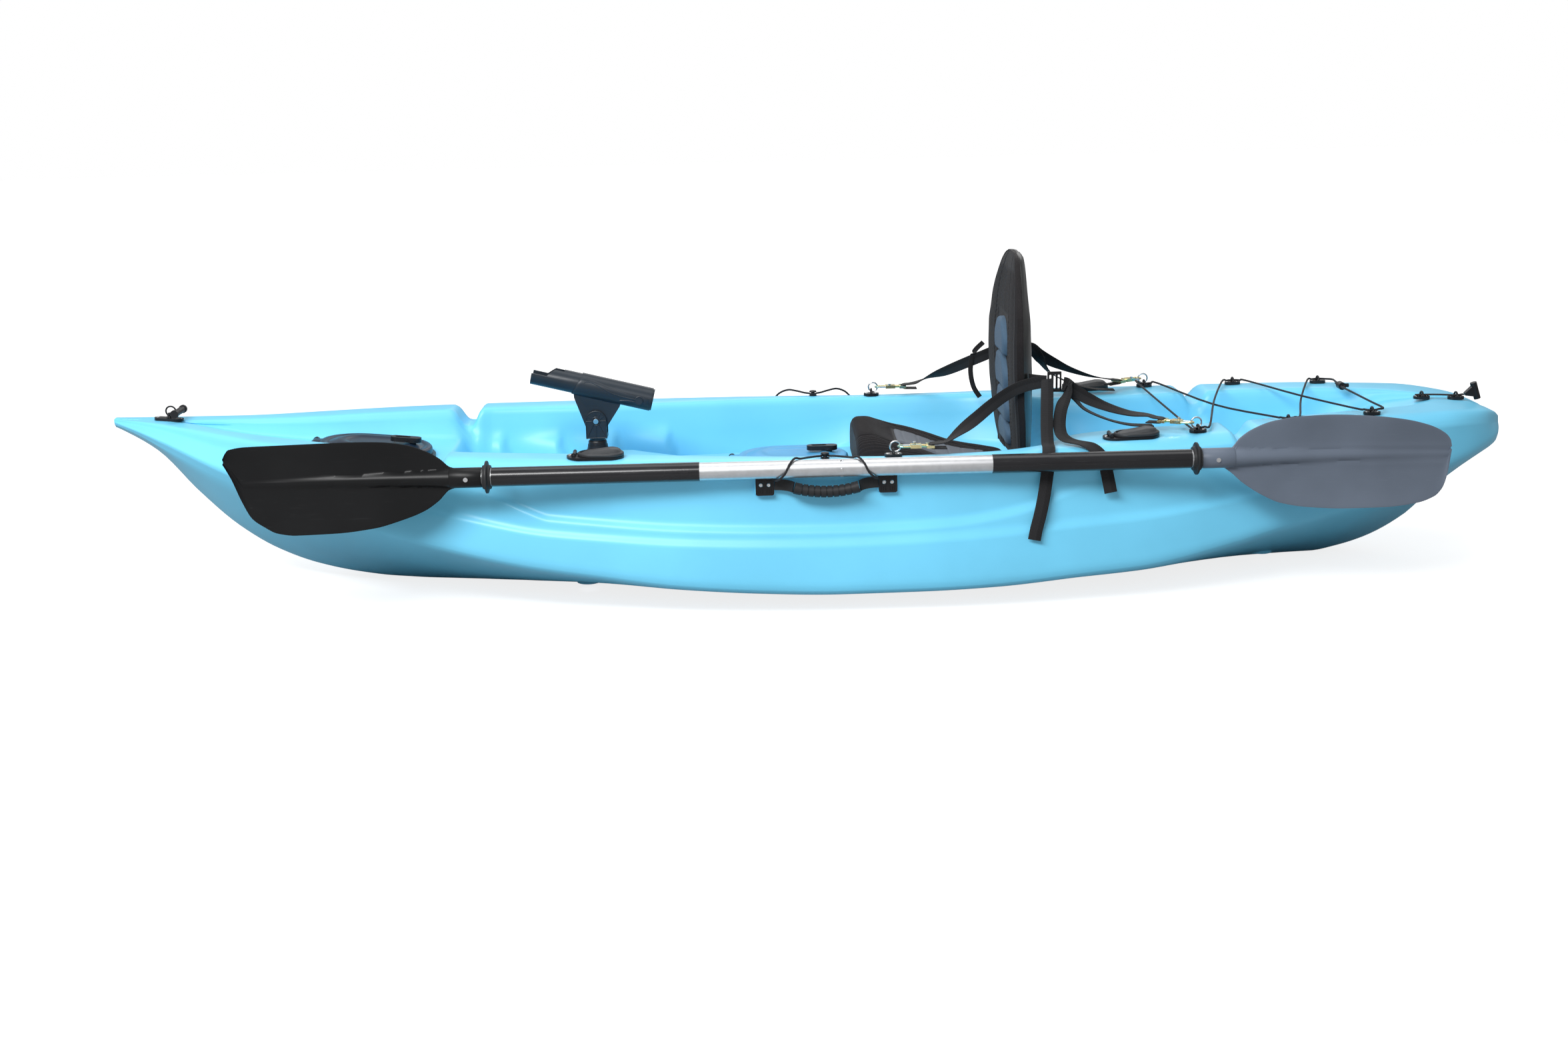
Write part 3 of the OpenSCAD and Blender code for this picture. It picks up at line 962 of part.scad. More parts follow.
// t runs from 0 at the shaft to 1 at the tip
function blade_ring(x, t, top, low) = let(
    z1 = curve(top, x), z0 = curve(low, x), m = max(min(0, z1 - 0.2 * (z1 - z0)), z0 + 0.35 * (z1 - z0)),
    rise = 14 * pow(1 - t, 1.6) + 1.2, wide = 15 - 7 * t, cup = 7 * min(1, 3 * t), bend = -14 * t * t)
    let(face = [for (v = blade_shares) let(z = v < 0 ? m + v * (m - z0) : m + v * (z1 - m),
        c = bend - cup * v * v, h = blade_edge / 2 * (1 - 0.6 * pow(abs(v), 8)),
        b = rise * exp(-pow((z - m) / wide, 2)))
        [z, c - h - b, c + h + b]])
    concat([for (f = face) [x, f[1], f[0]]], [for (i = [len(face) - 1:-1:0]) [x, face[i][2], face[i][0]]]);
module at_shaft() translate([0, -paddle_y, paddle_z]) children();
module blade(stations, top, low, neck, rivet_x, root, tip) at_shaft() difference() {
    union() {
        skin([for (x = stations) blade_ring(x, max(0, (x - root) / (tip - root)), top, low)]);
        along(neck[0], neck[1], neck_r);
    }
    along(neck[0] + 5 * (tip < 0 ? 1 : -4), neck[1] + 5 * (tip < 0 ? 4 : -1), shaft_r + pin_fit);
    translate([rivet_x, 0, 0]) across(-30, 30, rivet_r + pin_fit);
}
module paddle_bow_blade() color([0.06, 0.06, 0.06])
    blade(blade_stations, blade_top, blade_low, bow_neck, bow_rivet_x, -640, -1036);
module paddle_stern_blade() color([0.42, 0.47, 0.54])
    blade(stern_blade_stations, stern_blade_top, stern_blade_low, stern_neck, stern_rivet_x, 740, 1126);
module shaft_half(x0, x1, rivet_x) {
    difference() {
        along(x0, x1, shaft_r);
        along(x0 - 1, x1 + 1, shaft_r - shaft_wall);
        if (x0 < 0)
            for (a = [0, 60, -60])
                translate([button_x, 0, 0]) rotate([a, 0, 0]) across(-shaft_r - 5, 0, 3.06);
    }
    translate([rivet_x, 0, 0]) {
        across(-neck_r - 1, neck_r + 1, rivet_r);
        for (k = [-1, 1])
            across(k * (neck_r + 0.75) - 0.7, k * (neck_r + 0.75) + 0.7, 4);
    }
}
module paddle_bow_shaft() color("silver") at_shaft() shaft_half(bow_neck[0] + 5.5, seam_x, bow_rivet_x);
module paddle_stern_shaft() color("silver")
    at_shaft() shaft_half(seam_x + 0.3, stern_neck[1] - 5.5, stern_rivet_x);
module sleeve(x0, x1) at_shaft() difference() {
    along(x0, x1, shaft_r + 0.95);
    along(x0 - 1, x1 + 1, shaft_r + pin_fit);
}
module paddle_bow_sleeve() color([0.05, 0.05, 0.05]) sleeve(bow_sleeve[0], bow_sleeve[1]);
module paddle_stern_sleeve() color([0.05, 0.05, 0.05]) sleeve(stern_sleeve[0], stern_sleeve[1]);
module paddle_ferrule() color([0.3, 0.3, 0.3]) at_shaft() difference() {
    along(ferrule_x[0], ferrule_x[1], shaft_r - shaft_wall - pin_fit);
    along(ferrule_x[0] - 1, ferrule_x[1] + 1, shaft_r - shaft_wall - 1.5);
    translate([button_x, 0, 0]) across(-shaft_r - 5, 0, 3.06);
}
module paddle_button() color("silver") at_shaft() translate([button_x, 0, 0]) {
    across(-shaft_r - 1.2, -8, 3);
    across(-10, -8, 4.5);
}
module drip_ring(x) at_shaft() translate([x, 0, 0]) rotate([0, 90, 0]) rotate_extrude($fn = 64) polygon(
    [[shaft_r + pin_fit, -7.3], [21, -7.3], [22, -3], [29, -1.8], [29, 1.8], [22, 3], [21, 7.3],
        [shaft_r + pin_fit, 7.3]]);
module bow_drip_ring() color([0.04, 0.04, 0.05]) drip_ring(-579.5);
module stern_drip_ring() color([0.04, 0.04, 0.05]) drip_ring(678.3);

hull_moulding();
drain_plug();
front_hatch_rim();
mid_hatch_rim();
hatch_gaskets();
hatch_hinge_pins();
front_hatch_lid();
mid_hatch_lid();
front_hatch_latch();
mid_hatch_latch();
rod_base();
rod_yoke();
rod_tube();
rod_pivot_bolt();
flush_holders();
deck_screws();
flush_cap_port_front();
flush_cap_port_rear();
flush_cap_starboard_front();
flush_cap_starboard_rear();
handle_plates();
handle_screws();
port_handle_webbing();
port_handle_grip();
starboard_handle_webbing();
starboard_handle_grip();
pad_eyes();
seat_links();
snap_hooks();
snap_bolt_port_front();
snap_bolt_port_rear();
snap_bolt_starboard_front();
snap_bolt_starboard_rear();
deck_bungee();
cord_lock();
bow_toggle();
stern_toggle_strap();
stern_toggle();
port_keeper();
starboard_keeper();
keeper_buttons();
seat_pad();
seat_pad_panel();
back_pad();
back_shell();
back_panel();
back_buckles();
front_straps();
rear_straps();
strap_tails();
paddle_bow_blade();
paddle_stern_blade();
paddle_bow_shaft();
paddle_stern_shaft();
paddle_bow_sleeve();
paddle_stern_sleeve();
paddle_ferrule();
paddle_button();
bow_drip_ring();
stern_drip_ring();
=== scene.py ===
import json
import logging
import math
from dataclasses import dataclass, field
from enum import Enum
from typing import Callable, Sequence

import bmesh
import bpy
import numpy as np
from mathutils import Matrix, Vector


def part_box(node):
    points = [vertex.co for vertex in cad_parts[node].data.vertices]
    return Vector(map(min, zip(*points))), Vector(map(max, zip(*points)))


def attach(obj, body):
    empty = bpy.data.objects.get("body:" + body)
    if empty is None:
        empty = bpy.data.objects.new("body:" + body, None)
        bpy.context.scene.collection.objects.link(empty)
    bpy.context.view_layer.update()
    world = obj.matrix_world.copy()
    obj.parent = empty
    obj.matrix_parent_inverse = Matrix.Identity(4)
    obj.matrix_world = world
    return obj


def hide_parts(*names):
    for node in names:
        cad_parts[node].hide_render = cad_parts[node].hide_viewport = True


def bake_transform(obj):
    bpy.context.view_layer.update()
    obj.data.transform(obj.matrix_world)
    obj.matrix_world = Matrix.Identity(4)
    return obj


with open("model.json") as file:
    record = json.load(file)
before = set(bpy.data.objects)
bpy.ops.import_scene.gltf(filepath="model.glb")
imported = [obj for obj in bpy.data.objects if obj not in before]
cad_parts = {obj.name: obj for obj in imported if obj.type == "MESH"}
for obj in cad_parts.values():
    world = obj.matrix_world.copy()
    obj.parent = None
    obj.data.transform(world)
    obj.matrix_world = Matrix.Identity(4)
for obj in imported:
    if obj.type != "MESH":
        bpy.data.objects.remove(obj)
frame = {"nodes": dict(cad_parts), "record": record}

LOG = logging.getLogger("kayak")
MM = 0.001
Colour = tuple[float, float, float]
Points = np.ndarray


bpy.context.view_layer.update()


class Socket:
    """A shader socket that can be used in sums, so that an expression adds its Math nodes."""

    def __init__(self, shader: "Shader", socket: bpy.types.NodeSocket) -> None:
        """Wraps one output socket of a shader."""
        self.shader = shader
        self.socket = socket

    def _math(self, operation: str, a: object, b: object = 0.0) -> "Socket":
        """One Math node on two values."""
        return self.shader.node("ShaderNodeMath", {"operation": operation}, {0: a, 1: b})

    def __add__(self, other: object) -> "Socket":
        """self + other"""
        return self._math("ADD", self, other)

    def __radd__(self, other: object) -> "Socket":
        """other + self"""
        return self._math("ADD", other, self)

    def __sub__(self, other: object) -> "Socket":
        """self - other"""
        return self._math("SUBTRACT", self, other)

    def __rsub__(self, other: object) -> "Socket":
        """other - self"""
        return self._math("SUBTRACT", other, self)

    def __mul__(self, other: object) -> "Socket":
        """self * other"""
        return self._math("MULTIPLY", self, other)

    def __rmul__(self, other: object) -> "Socket":
        """other * self"""
        return self._math("MULTIPLY", other, self)

    def __pow__(self, other: object) -> "Socket":
        """self ** other"""
        return self._math("POWER", self, other)

    def above(self, level: float) -> "Socket":
        """1 where the value is over the level, else 0."""
        return self._math("GREATER_THAN", self, level)

    def sine(self) -> "Socket":
        """The sine of the value, in radians."""
        return self._math("SINE", self)

    def size(self) -> "Socket":
        """The value without its sign."""
        return self._math("ABSOLUTE", self)

    def ramp(self, low: float, high: float) -> "Socket":
        """0 below low, 1 above high and smooth between."""
        return self.shader.node("ShaderNodeMapRange", {"interpolation_type": "SMOOTHSTEP"},
                                {"Value": self, "From Min": low, "From Max": high})


class Shader:
    """A node-based material in the making."""

    def __init__(self, name: str) -> None:
        """Starts an empty material with one Principled surface."""
        self.material = bpy.data.materials.new(name)
        self.material.use_nodes = True
        self.tree = self.material.node_tree
        self.tree.nodes.clear()
        self.surface = self.tree.nodes.new("ShaderNodeBsdfPrincipled")
        output = self.tree.nodes.new("ShaderNodeOutputMaterial")
        self.tree.links.new(self.surface.outputs[0], output.inputs[0])
        self.output = output

    def plug(self, socket: bpy.types.NodeSocket, value: object) -> None:
        """Links a socket or sets its constant.

        Args:
            socket: The input to feed.
            value: A Socket, a number or a colour.
        """
        if isinstance(value, Socket):
            self.tree.links.new(value.socket, socket)
        elif isinstance(value, (tuple, list)) and len(value) == 3 and socket.type == "RGBA":
            socket.default_value = (*value, 1.0)
        else:
            socket.default_value = value

    def node(self, kind: str, settings: dict[str, object] | None = None,
             sockets: dict[object, object] | None = None, out: int | str = 0) -> Socket:
        """Adds one node.

        Args:
            kind: The node's type.
            settings: Properties, which are set first.
            sockets: Input name or number to value or link.
            out: The output to return.

        Returns:
            The chosen output.
        """
        made = self.tree.nodes.new(kind)
        for key, value in (settings or {}).items():
            setattr(made, key, value)
        for key, value in (sockets or {}).items():
            self.plug(made.inputs[key], value)
        return Socket(self, made.outputs[out])

    def place(self, scale: Colour = (1, 1, 1), turn: Colour = (0, 0, 0)) -> Socket:
        """Object coordinates, scaled and turned.

        Args:
            scale: Scale along each axis.
            turn: Turn about each axis, in degrees.

        Returns:
            The mapped coordinates.
        """
        where = self.node("ShaderNodeTexCoord", out="Object")
        turned = tuple(math.radians(a) for a in turn)
        return self.node("ShaderNodeMapping", None,
                         {"Vector": where, "Scale": scale, "Rotation": turned})

    def noise(self, where: Socket, scale: float, detail: float = 2.0) -> Socket:
        """A noise value around 0.5."""
        return self.node("ShaderNodeTexNoise", None,
                         {"Vector": where, "Scale": scale, "Detail": detail})

    def along_piece(self) -> tuple[Socket, Socket]:
        """The piece's own length and width coordinates, in metres."""
        where = self.node("ShaderNodeUVMap", {"uv_map": "cloth"})
        split = self.node("ShaderNodeSeparateXYZ", None, {0: where})
        return split, Socket(self, split.socket.node.outputs[1])

    def blend(self, factor: object, a: object, b: object) -> Socket:
        """A colour between a and b."""
        made = self.node("ShaderNodeMix", {"data_type": "RGBA"}, None, 2)
        inputs = made.socket.node.inputs
        for socket, value in ((inputs[0], factor), (inputs[6], a), (inputs[7], b)):
            self.plug(socket, value)
        return made

    def dress(self, colour: object, roughness: object, height: Socket | None = None,
              depth: float = 0.0002, strength: float = 1.0, **constants: object) -> bpy.types.Material:
        """Feeds the surface and returns the material.

        Args:
            colour: The base colour.
            roughness: The roughness.
            height: Relief for the bump, from 0 to 1.
            depth: What a height of 1 means, in metres.
            strength: The strength of the bump.
            **constants: Other sockets of the surface, with _ for a space.

        Returns:
            The finished material.
        """
        self.plug(self.surface.inputs["Base Color"], colour)
        self.plug(self.surface.inputs["Roughness"], roughness)
        for key, value in constants.items():
            self.plug(self.surface.inputs[key.replace("_", " ").title().replace("Ior", "IOR")], value)
        if height is not None:
            bump = self.node("ShaderNodeBump", None,
                             {"Strength": strength, "Distance": depth, "Height": height})
            self.plug(self.surface.inputs["Normal"], bump)
        return self.material


@dataclass(frozen=True)
class Finish:
    """A finish: its name, the record's slot and its colour."""

    name: str
    slot: str
    colour: Colour
    roughness: float = 0.4

    def draw(self, shader: Shader) -> bpy.types.Material:
        """Feeds the shader; each kind of finish has its own way."""
        raise NotImplementedError

    def material(self) -> bpy.types.Material:
        """The material, made once."""
        return bpy.data.materials.get(self.name) or self.draw(Shader(self.name))


@dataclass(frozen=True)
class Moulded(Finish):
    """Moulded plastic: a fine skin, slow shade changes and light scuffs."""

    skin: float = 0.00003
    grain: float = 900.0
    shade: float = 0.12
    scuff: float = 0.12
    gloss: float = 0.0
    mirror: float = 0.3

    def draw(self, shader: Shader) -> bpy.types.Material:
        """Cloudy colour, scratched gloss and the skin of the mould."""
        where = shader.place()
        cloud = shader.noise(where, 5.0, 3.0)
        dark = tuple(c * (1 - self.shade) for c in self.colour)
        light = tuple(min(1.0, c * (1 + self.shade) + 0.002) for c in self.colour)
        drag = shader.noise(shader.place((14, 220, 220), (0, 4, 7)), 1.6, 4.0).ramp(0.6, 0.75)
        speck = shader.noise(where, 160.0, 1.0)
        colour = shader.blend(cloud.ramp(0.3, 0.7), dark, light)
        pale = tuple(min(1.0, c * 1.15 + 0.012) for c in self.colour)
        colour = shader.blend(drag * self.scuff, colour, pale)
        rough = cloud * 0.08 + drag * (self.scuff * 1.2) + (self.roughness - 0.04)
        height = shader.noise(where, self.grain, 2.0) + speck * 0.5
        return shader.dress(colour, rough, height, self.skin, 0.6, coat_weight=self.gloss,
                            coat_roughness=0.12, specular_ior_level=self.mirror)


@dataclass(frozen=True)
class Metal(Finish):
    """Plated or drawn metal with fine marks and, where tinted, rainbow plating."""

    tint: Colour | None = None
    drawn: Colour = (400, 400, 400)

    def draw(self, shader: Shader) -> bpy.types.Material:
        """Metal whose gloss varies along its marks."""
        marks = shader.noise(shader.place(self.drawn), 1.0, 3.0)
        cloud = shader.noise(shader.place(), 90.0, 2.0)
        dark = tuple(c * 0.93 for c in self.colour)
        colour = shader.blend(cloud.ramp(0.35, 0.65), dark, self.colour)
        if self.tint is not None:
            patch = shader.noise(shader.place(), 60.0, 1.0).ramp(0.5, 0.66)
            colour = shader.blend(patch, colour, self.tint)
        rough = marks * 0.1 + (self.roughness - 0.05)
        return shader.dress(colour, rough, marks, 0.00001, 0.2, metallic=1.0)


@dataclass(frozen=True)
class Webbing(Finish):
    """Woven strap: cross ribs, lengthwise ends and firm edges, along the piece's own length."""

    pitch: float = 0.0021
    ends: float = 0.0016
    half: float = 0.0115

    def draw(self, shader: Shader) -> bpy.types.Material:
        """The weave as relief and shade."""
        along, over = shader.along_piece()
        turn = 2 * math.pi
        ends = (over * (turn / self.ends)).sine()
        picks = (along * (turn / self.pitch) + ends * 0.9).sine()
        weave = picks * 0.5 + ends * 0.2 + 0.5
        edge = over.size().ramp(self.half * 0.86, self.half * 0.95)
        lint = shader.noise(shader.place(), 700.0, 3.0)
        light = tuple(c * 2.6 + 0.008 for c in self.colour)
        colour = shader.blend(weave.ramp(0.35, 1.1) * 0.75, self.colour, light)
        colour = shader.blend(edge * 0.4, colour, light)
        rough = lint * 0.2 + (self.roughness - 0.1)
        return shader.dress(colour, rough, weave, 0.00035, 0.9, sheen_weight=0.06,
                            specular_ior_level=0.15)


@dataclass(frozen=True)
class Braid(Finish):
    """Braided cord: strands that cross along the piece's own length."""

    pitch: float = 0.0034
    girth: float = 0.0126

    def draw(self, shader: Shader) -> bpy.types.Material:
        """Strands both ways round the cord, in relief and in tone."""
        along, over = shader.along_piece()
        turn = 2 * math.pi
        left = (along * (turn / self.pitch) + over * (turn * 4 / self.girth)).sine()
        right = (along * (turn / self.pitch) - over * (turn * 4 / self.girth)).sine()
        strands = left * right * 0.5 + 0.5
        light = tuple(c * 3.0 + 0.01 for c in self.colour)
        colour = shader.blend(strands.ramp(0.3, 1.0) * 0.7, self.colour, light)
        return shader.dress(colour, 0.62, strands, 0.0003, 0.8, sheen_weight=0.06,
                            specular_ior_level=0.2)


@dataclass(frozen=True)
class Knit(Finish):
    """Knit cover fabric over foam: fine stitches, lint and a soft sheen."""

    stitch: float = 0.0013
    light: float = 2.2

    def draw(self, shader: Shader) -> bpy.types.Material:
        """Stitches on Object coordinates, as the cover is stretched over the foam."""
        where = shader.place()
        split = shader.node("ShaderNodeSeparateXYZ", None, {0: where})
        outs = split.socket.node.outputs
        x, y, z = (Socket(shader, o) for o in outs)
        turn = 2 * math.pi / self.stitch
        rows = ((y + x * 0.35) * turn).sine() * ((z + x * 0.6) * turn).sine()
        stitch = rows * 0.5 + 0.5
        lint = shader.noise(where, 380.0, 4.0)
        cloud = shader.noise(where, 14.0, 3.0)
        pale = tuple(c * self.light + 0.004 for c in self.colour)
        colour = shader.blend(stitch * 0.35 + lint.ramp(0.45, 0.75) * 0.35, self.colour, pale)
        colour = shader.blend(cloud.ramp(0.35, 0.7) * 0.25, colour, pale)
        height = stitch * 0.7 + lint * 0.5
        return shader.dress(colour, lint * 0.12 + (self.roughness - 0.06), height, 0.00025, 0.8,
                            sheen_weight=0.08, sheen_roughness=0.5, specular_ior_level=0.12)


HULL_BLUE = Moulded("hull_polyethylene", "hull_blue", (0.185, 0.66, 0.95), 0.34,
                    skin=0.00006, grain=420.0, shade=0.04, scuff=0.06, mirror=0.36)
# Front lid: near-black plastic, with a blue tint that is a painted sky reflection.
LID_BLACK_SKY_REFLECTION = Moulded("lid_plastic", "lid_navy", (0.012, 0.026, 0.05), 0.33, scuff=0.2)
# Mid lid: the hull's blue darkened as painted shade, a shaded copy of the hull colour.
LID_BLUE_PAINTED_SHADE = Moulded("lid_blue_painted_shade", "lid_navy", (0.075, 0.36, 0.66), 0.36, scuff=0.1)
BLACK = Moulded("fitting_plastic", "black_plastic", (0.012, 0.012, 0.014), 0.36, scuff=0.25)
BOOT_RUBBER = Moulded("soft_rubber", "black_rubber", (0.02, 0.021, 0.023), 0.52, grain=1500.0,
                      scuff=0.3)
CAP_RUBBER = Moulded("cap_rubber", "black_rubber", (0.035, 0.038, 0.042), 0.42, grain=1100.0,
                     scuff=0.25)
TUBE_PLASTIC = Moulded("tube_plastic", "dark_tube", (0.022, 0.03, 0.04), 0.34, scuff=0.3)
STEEL = Metal("screw_steel", "steel", (0.76, 0.77, 0.78), 0.24)
YELLOW_ZINC = Metal("yellow_zinc", "zinc_yellow", (0.82, 0.70, 0.36), 0.26,
                    tint=(0.55, 0.80, 0.66))
CORD_BLACK = Braid("bungee_braid", "cord_black", (0.012, 0.012, 0.014))
STRAP_BLACK = Webbing("strap_weave", "webbing_black", (0.009, 0.009, 0.010), 0.6)
NARROW_WEB = Webbing("narrow_weave", "webbing_black", (0.009, 0.009, 0.010), 0.6, half=0.005)
SEAT_KNIT = Knit("seat_knit", "seat_fabric", (0.010, 0.009, 0.010), 0.72)
PANEL_KNIT = Knit("panel_knit", "panel_grey", (0.12, 0.135, 0.16), 0.7, stitch=0.0018, light=1.3)
LOBE_FOAM = Knit("lobe_foam", "lobe_blue", (0.065, 0.115, 0.175), 0.6, stitch=0.0009, light=1.3)
SHELL_BLACK = Moulded("shell_vinyl", "shell_black", (0.014, 0.015, 0.015), 0.30, grain=1300.0)
BLADE_BLACK = Moulded("blade_nylon_dark", "blade_black", (0.006, 0.0063, 0.007), 0.36,
                      grain=1400.0, scuff=0.2, mirror=0.22)
# Stern blade: the same dark plastic as the bow blade, lightened to grey-blue as a painted sky reflection.
BLADE_GREY_SKY_REFLECTION = Moulded("blade_grey_painted_reflection", "blade_grey", (0.135, 0.165, 0.215), 0.42,
                     grain=1400.0, scuff=0.3)
SHAFT_SILVER = Metal("shaft_alloy", "shaft_silver", (0.74, 0.75, 0.77), 0.4,
                     drawn=(30, 500, 500))
SHAFT_BLACK = Moulded("shaft_sleeve", "shaft_black", (0.010, 0.010, 0.012), 0.26, gloss=0.3,
                      scuff=0.3)


def body_of(node: str) -> str:
    """The name of the body that a CAD node rides on."""
    bodies = frame["record"]["behaviour"]["bodies"]
    return next(name for name, members in bodies.items() if node in members)


class Workshop:
    """Makes finished pieces out of meshes."""

    def piece(self, name: str, bm: bmesh.types.BMesh, finish: Finish, body: str | None,
              replaces: Sequence[str] = (), sharp: float = 38.0) -> bpy.types.Object:
        """Turns a bmesh into a dressed piece.

        Args:
            name: The piece's name.
            bm: Its mesh, which is freed.
            finish: Its finish.
            body: The body that it rides on, or None where it is blended later.
            replaces: The CAD nodes that it stands for.
            sharp: Edges over this angle stay sharp, in degrees.

        Returns:
            The object.
        """
        mesh = bpy.data.meshes.new(name)
        bm.to_mesh(mesh)
        bm.free()
        for face in mesh.polygons:
            face.use_smooth = True
        mesh.set_sharp_from_angle(angle=math.radians(sharp))
        made = bpy.data.objects.new(name, mesh)
        bpy.context.scene.collection.objects.link(made)
        mesh.materials.append(finish.material())
        if replaces:
            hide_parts(*replaces)
        if body is not None:
            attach(made, body)
        LOG.info("%s: %d faces", name, len(mesh.polygons))
        return made

    def loft(self, rings: Points, closed: bool = True, caps: bool = True) -> bmesh.types.BMesh:
        """A skin through rings of points, with the lengths along and across it as its UV map.

        Args:
            rings: An array of rows, points and coordinates, in metres.
            closed: Whether each ring closes on itself.
            caps: Whether the first and last ring are filled.

        Returns:
            The mesh, with faces that point outwards.
        """
        if closed:
            rings = np.concatenate([rings, rings[:, :1]], axis=1)
        rows, cols = rings.shape[:2]
        steps = np.linalg.norm(np.diff(rings.mean(axis=1), axis=0), axis=1)
        along = np.concatenate([[0.0], np.cumsum(steps)])
        sides = np.linalg.norm(np.diff(rings, axis=1), axis=2)
        across = np.concatenate([np.zeros((rows, 1)), np.cumsum(sides, axis=1)], axis=1)
        across -= across[:, -1:] / 2
        bm = bmesh.new()
        bmesh.ops.create_grid(bm, x_segments=cols - 1, y_segments=rows - 1, size=0.5)
        bm.verts.ensure_lookup_table()
        flat = rings.reshape(-1, 3)
        for vert, place in zip(bm.verts, flat):
            vert.co = place
        cloth = bm.loops.layers.uv.new("cloth")
        for face in bm.faces:
            for loop in face.loops:
                row, col = divmod(loop.vert.index, cols)
                loop[cloth].uv = (along[row], across[row, col])
        bmesh.ops.remove_doubles(bm, verts=bm.verts, dist=1e-7)
        if caps:
            rim = [e for e in bm.edges if e.is_boundary]
            bmesh.ops.holes_fill(bm, edges=rim, sides=0)
            ends = [f for f in bm.faces if len(f.verts) > 4]
            bmesh.ops.triangulate(bm, faces=ends)
        bmesh.ops.recalc_face_normals(bm, faces=bm.faces)
        return bm

    def refined(self, node: str, finish: Finish, bevel: float = 0.0005) -> bpy.types.Object:
        """A CAD node's shape with its edges broken as a mould or a file breaks them.

        Args:
            node: The CAD node to finish and stand for.
            finish: The finish.
            bevel: The width of the broken edges, in metres.

        Returns:
            The piece.
        """
        bm = bmesh.new()
        bm.from_mesh(frame["nodes"][node].data)
        bmesh.ops.remove_doubles(bm, verts=bm.verts, dist=2e-6)
        bmesh.ops.dissolve_degenerate(bm, dist=1e-6, edges=bm.edges)
        bmesh.ops.dissolve_limit(bm, angle_limit=math.radians(0.8), verts=bm.verts, edges=bm.edges)
        made = self.piece(node + "_finished", bm, finish, body_of(node), [node], 32.0)
        if bevel:
            self.soften(made, bevel)
        return made

    def soften(self, made: bpy.types.Object, bevel: float) -> None:
        """Breaks a piece's sharp edges.

        Args:
            made: The piece.
            bevel: The width of the broken edges, in metres.
        """
        rounding = made.modifiers.new("broken_edges", "BEVEL")
        rounding.width = bevel
        rounding.segments = 2
        rounding.limit_method = "ANGLE"
        rounding.angle_limit = math.radians(32)
        rounding.harden_normals = True
        rounding.use_clamp_overlap = True


SHOP = Workshop()


def smooth_route(points: Sequence[Sequence[float]], steps: int) -> Points:
    """A Catmull-Rom line through given rows.

    Args:
        points: The rows, of any width.
        steps: The number of steps between each two.

    Returns:
        The rows along the smooth line.
    """
    p = np.array(points, float)
    p = np.concatenate([p[:1], p, p[-1:]])
    out = []
    for i in range(1, len(p) - 2):
        a, b, c, d = p[i - 1:i + 3]
        for s in np.arange(steps) / steps:
            out.append(0.5 * (2 * b + (c - a) * s + (2 * a - 5 * b + 4 * c - d) * s ** 2
                              + (3 * b - a - 3 * c + d) * s ** 3))
    out.append(p[-2])
    return np.array(out)


def frames_along(path: Points, lies: Points) -> tuple[Points, Points]:
    """The side and face directions of a flat band along a path.

    Args:
        path: Points along the band's middle.
        lies: The way that the width lies at each point.

    Returns:
        Unit vectors across the band and out of its face.
    """
    ahead = np.gradient(path, axis=0)
    ahead /= np.linalg.norm(ahead, axis=1, keepdims=True)
    face = np.cross(ahead, lies)
    face /= np.linalg.norm(face, axis=1, keepdims=True)
    return np.cross(face, ahead), face


def tube(path: Points, radius: float, sides: int = 12) -> bmesh.types.BMesh:
    """A round cord along a path, with a frame that doesn't twist.

    Args:
        path: Points along its middle, in metres.
        radius: Its radius.
        sides: The number of sides.

    Returns:
        The mesh.
    """
    side, up = frames_along(path, np.tile([0.011, 0.023, 1.0], (len(path), 1)))
    turns = np.arange(sides) * 2 * math.pi / sides
    rings = (path[:, None] + radius * (np.cos(turns)[None, :, None] * side[:, None]
                                       + np.sin(turns)[None, :, None] * up[:, None]))
    return SHOP.loft(rings)


def band(route: Sequence[Sequence[float]], width: float, thick: float,
         steps: int = 10) -> bmesh.types.BMesh:
    """A flat strap with rounded edges along a route in millimetres.

    Args:
        route: Rows of a place and the way the width lies.
        width: The strap's width, in metres.
        thick: The strap's thickness, in metres.
        steps: Steps between each two rows.

    Returns:
        The mesh.
    """
    rows = smooth_route(route, steps)
    path = rows[:, :3] * MM
    side, face = frames_along(path, rows[:, 3:])
    spread = np.array([-1, -0.985, -0.93, -0.5, 0, 0.5, 0.93, 0.985, 1])
    bulge = np.array([0.45, 0.8, 1, 0.9, 0.84, 0.9, 1, 0.8, 0.45])
    across = np.concatenate([spread, spread[::-1]]) * width / 2
    out = np.concatenate([bulge, -bulge[::-1]]) * thick / 2
    rings = path[:, None] + across[None, :, None] * side[:, None] + out[None, :, None] * face[:, None]
    return SHOP.loft(rings)


def stadium(length: float, width: float, count: int = 72) -> Points:
    """The outline of a stadium, as an array of points in the plane.

    Args:
        length: The length over its ends.
        width: The width.
        count: The number of points, a multiple of four.

    Returns:
        The points, in order.
    """
    turns = np.linspace(-math.pi / 2, math.pi / 2, count // 2)
    half = (length - width) / 2
    right = np.stack([half + width / 2 * np.cos(turns), width / 2 * np.sin(turns)], axis=1)
    left = -right
    return np.concatenate([right, left])


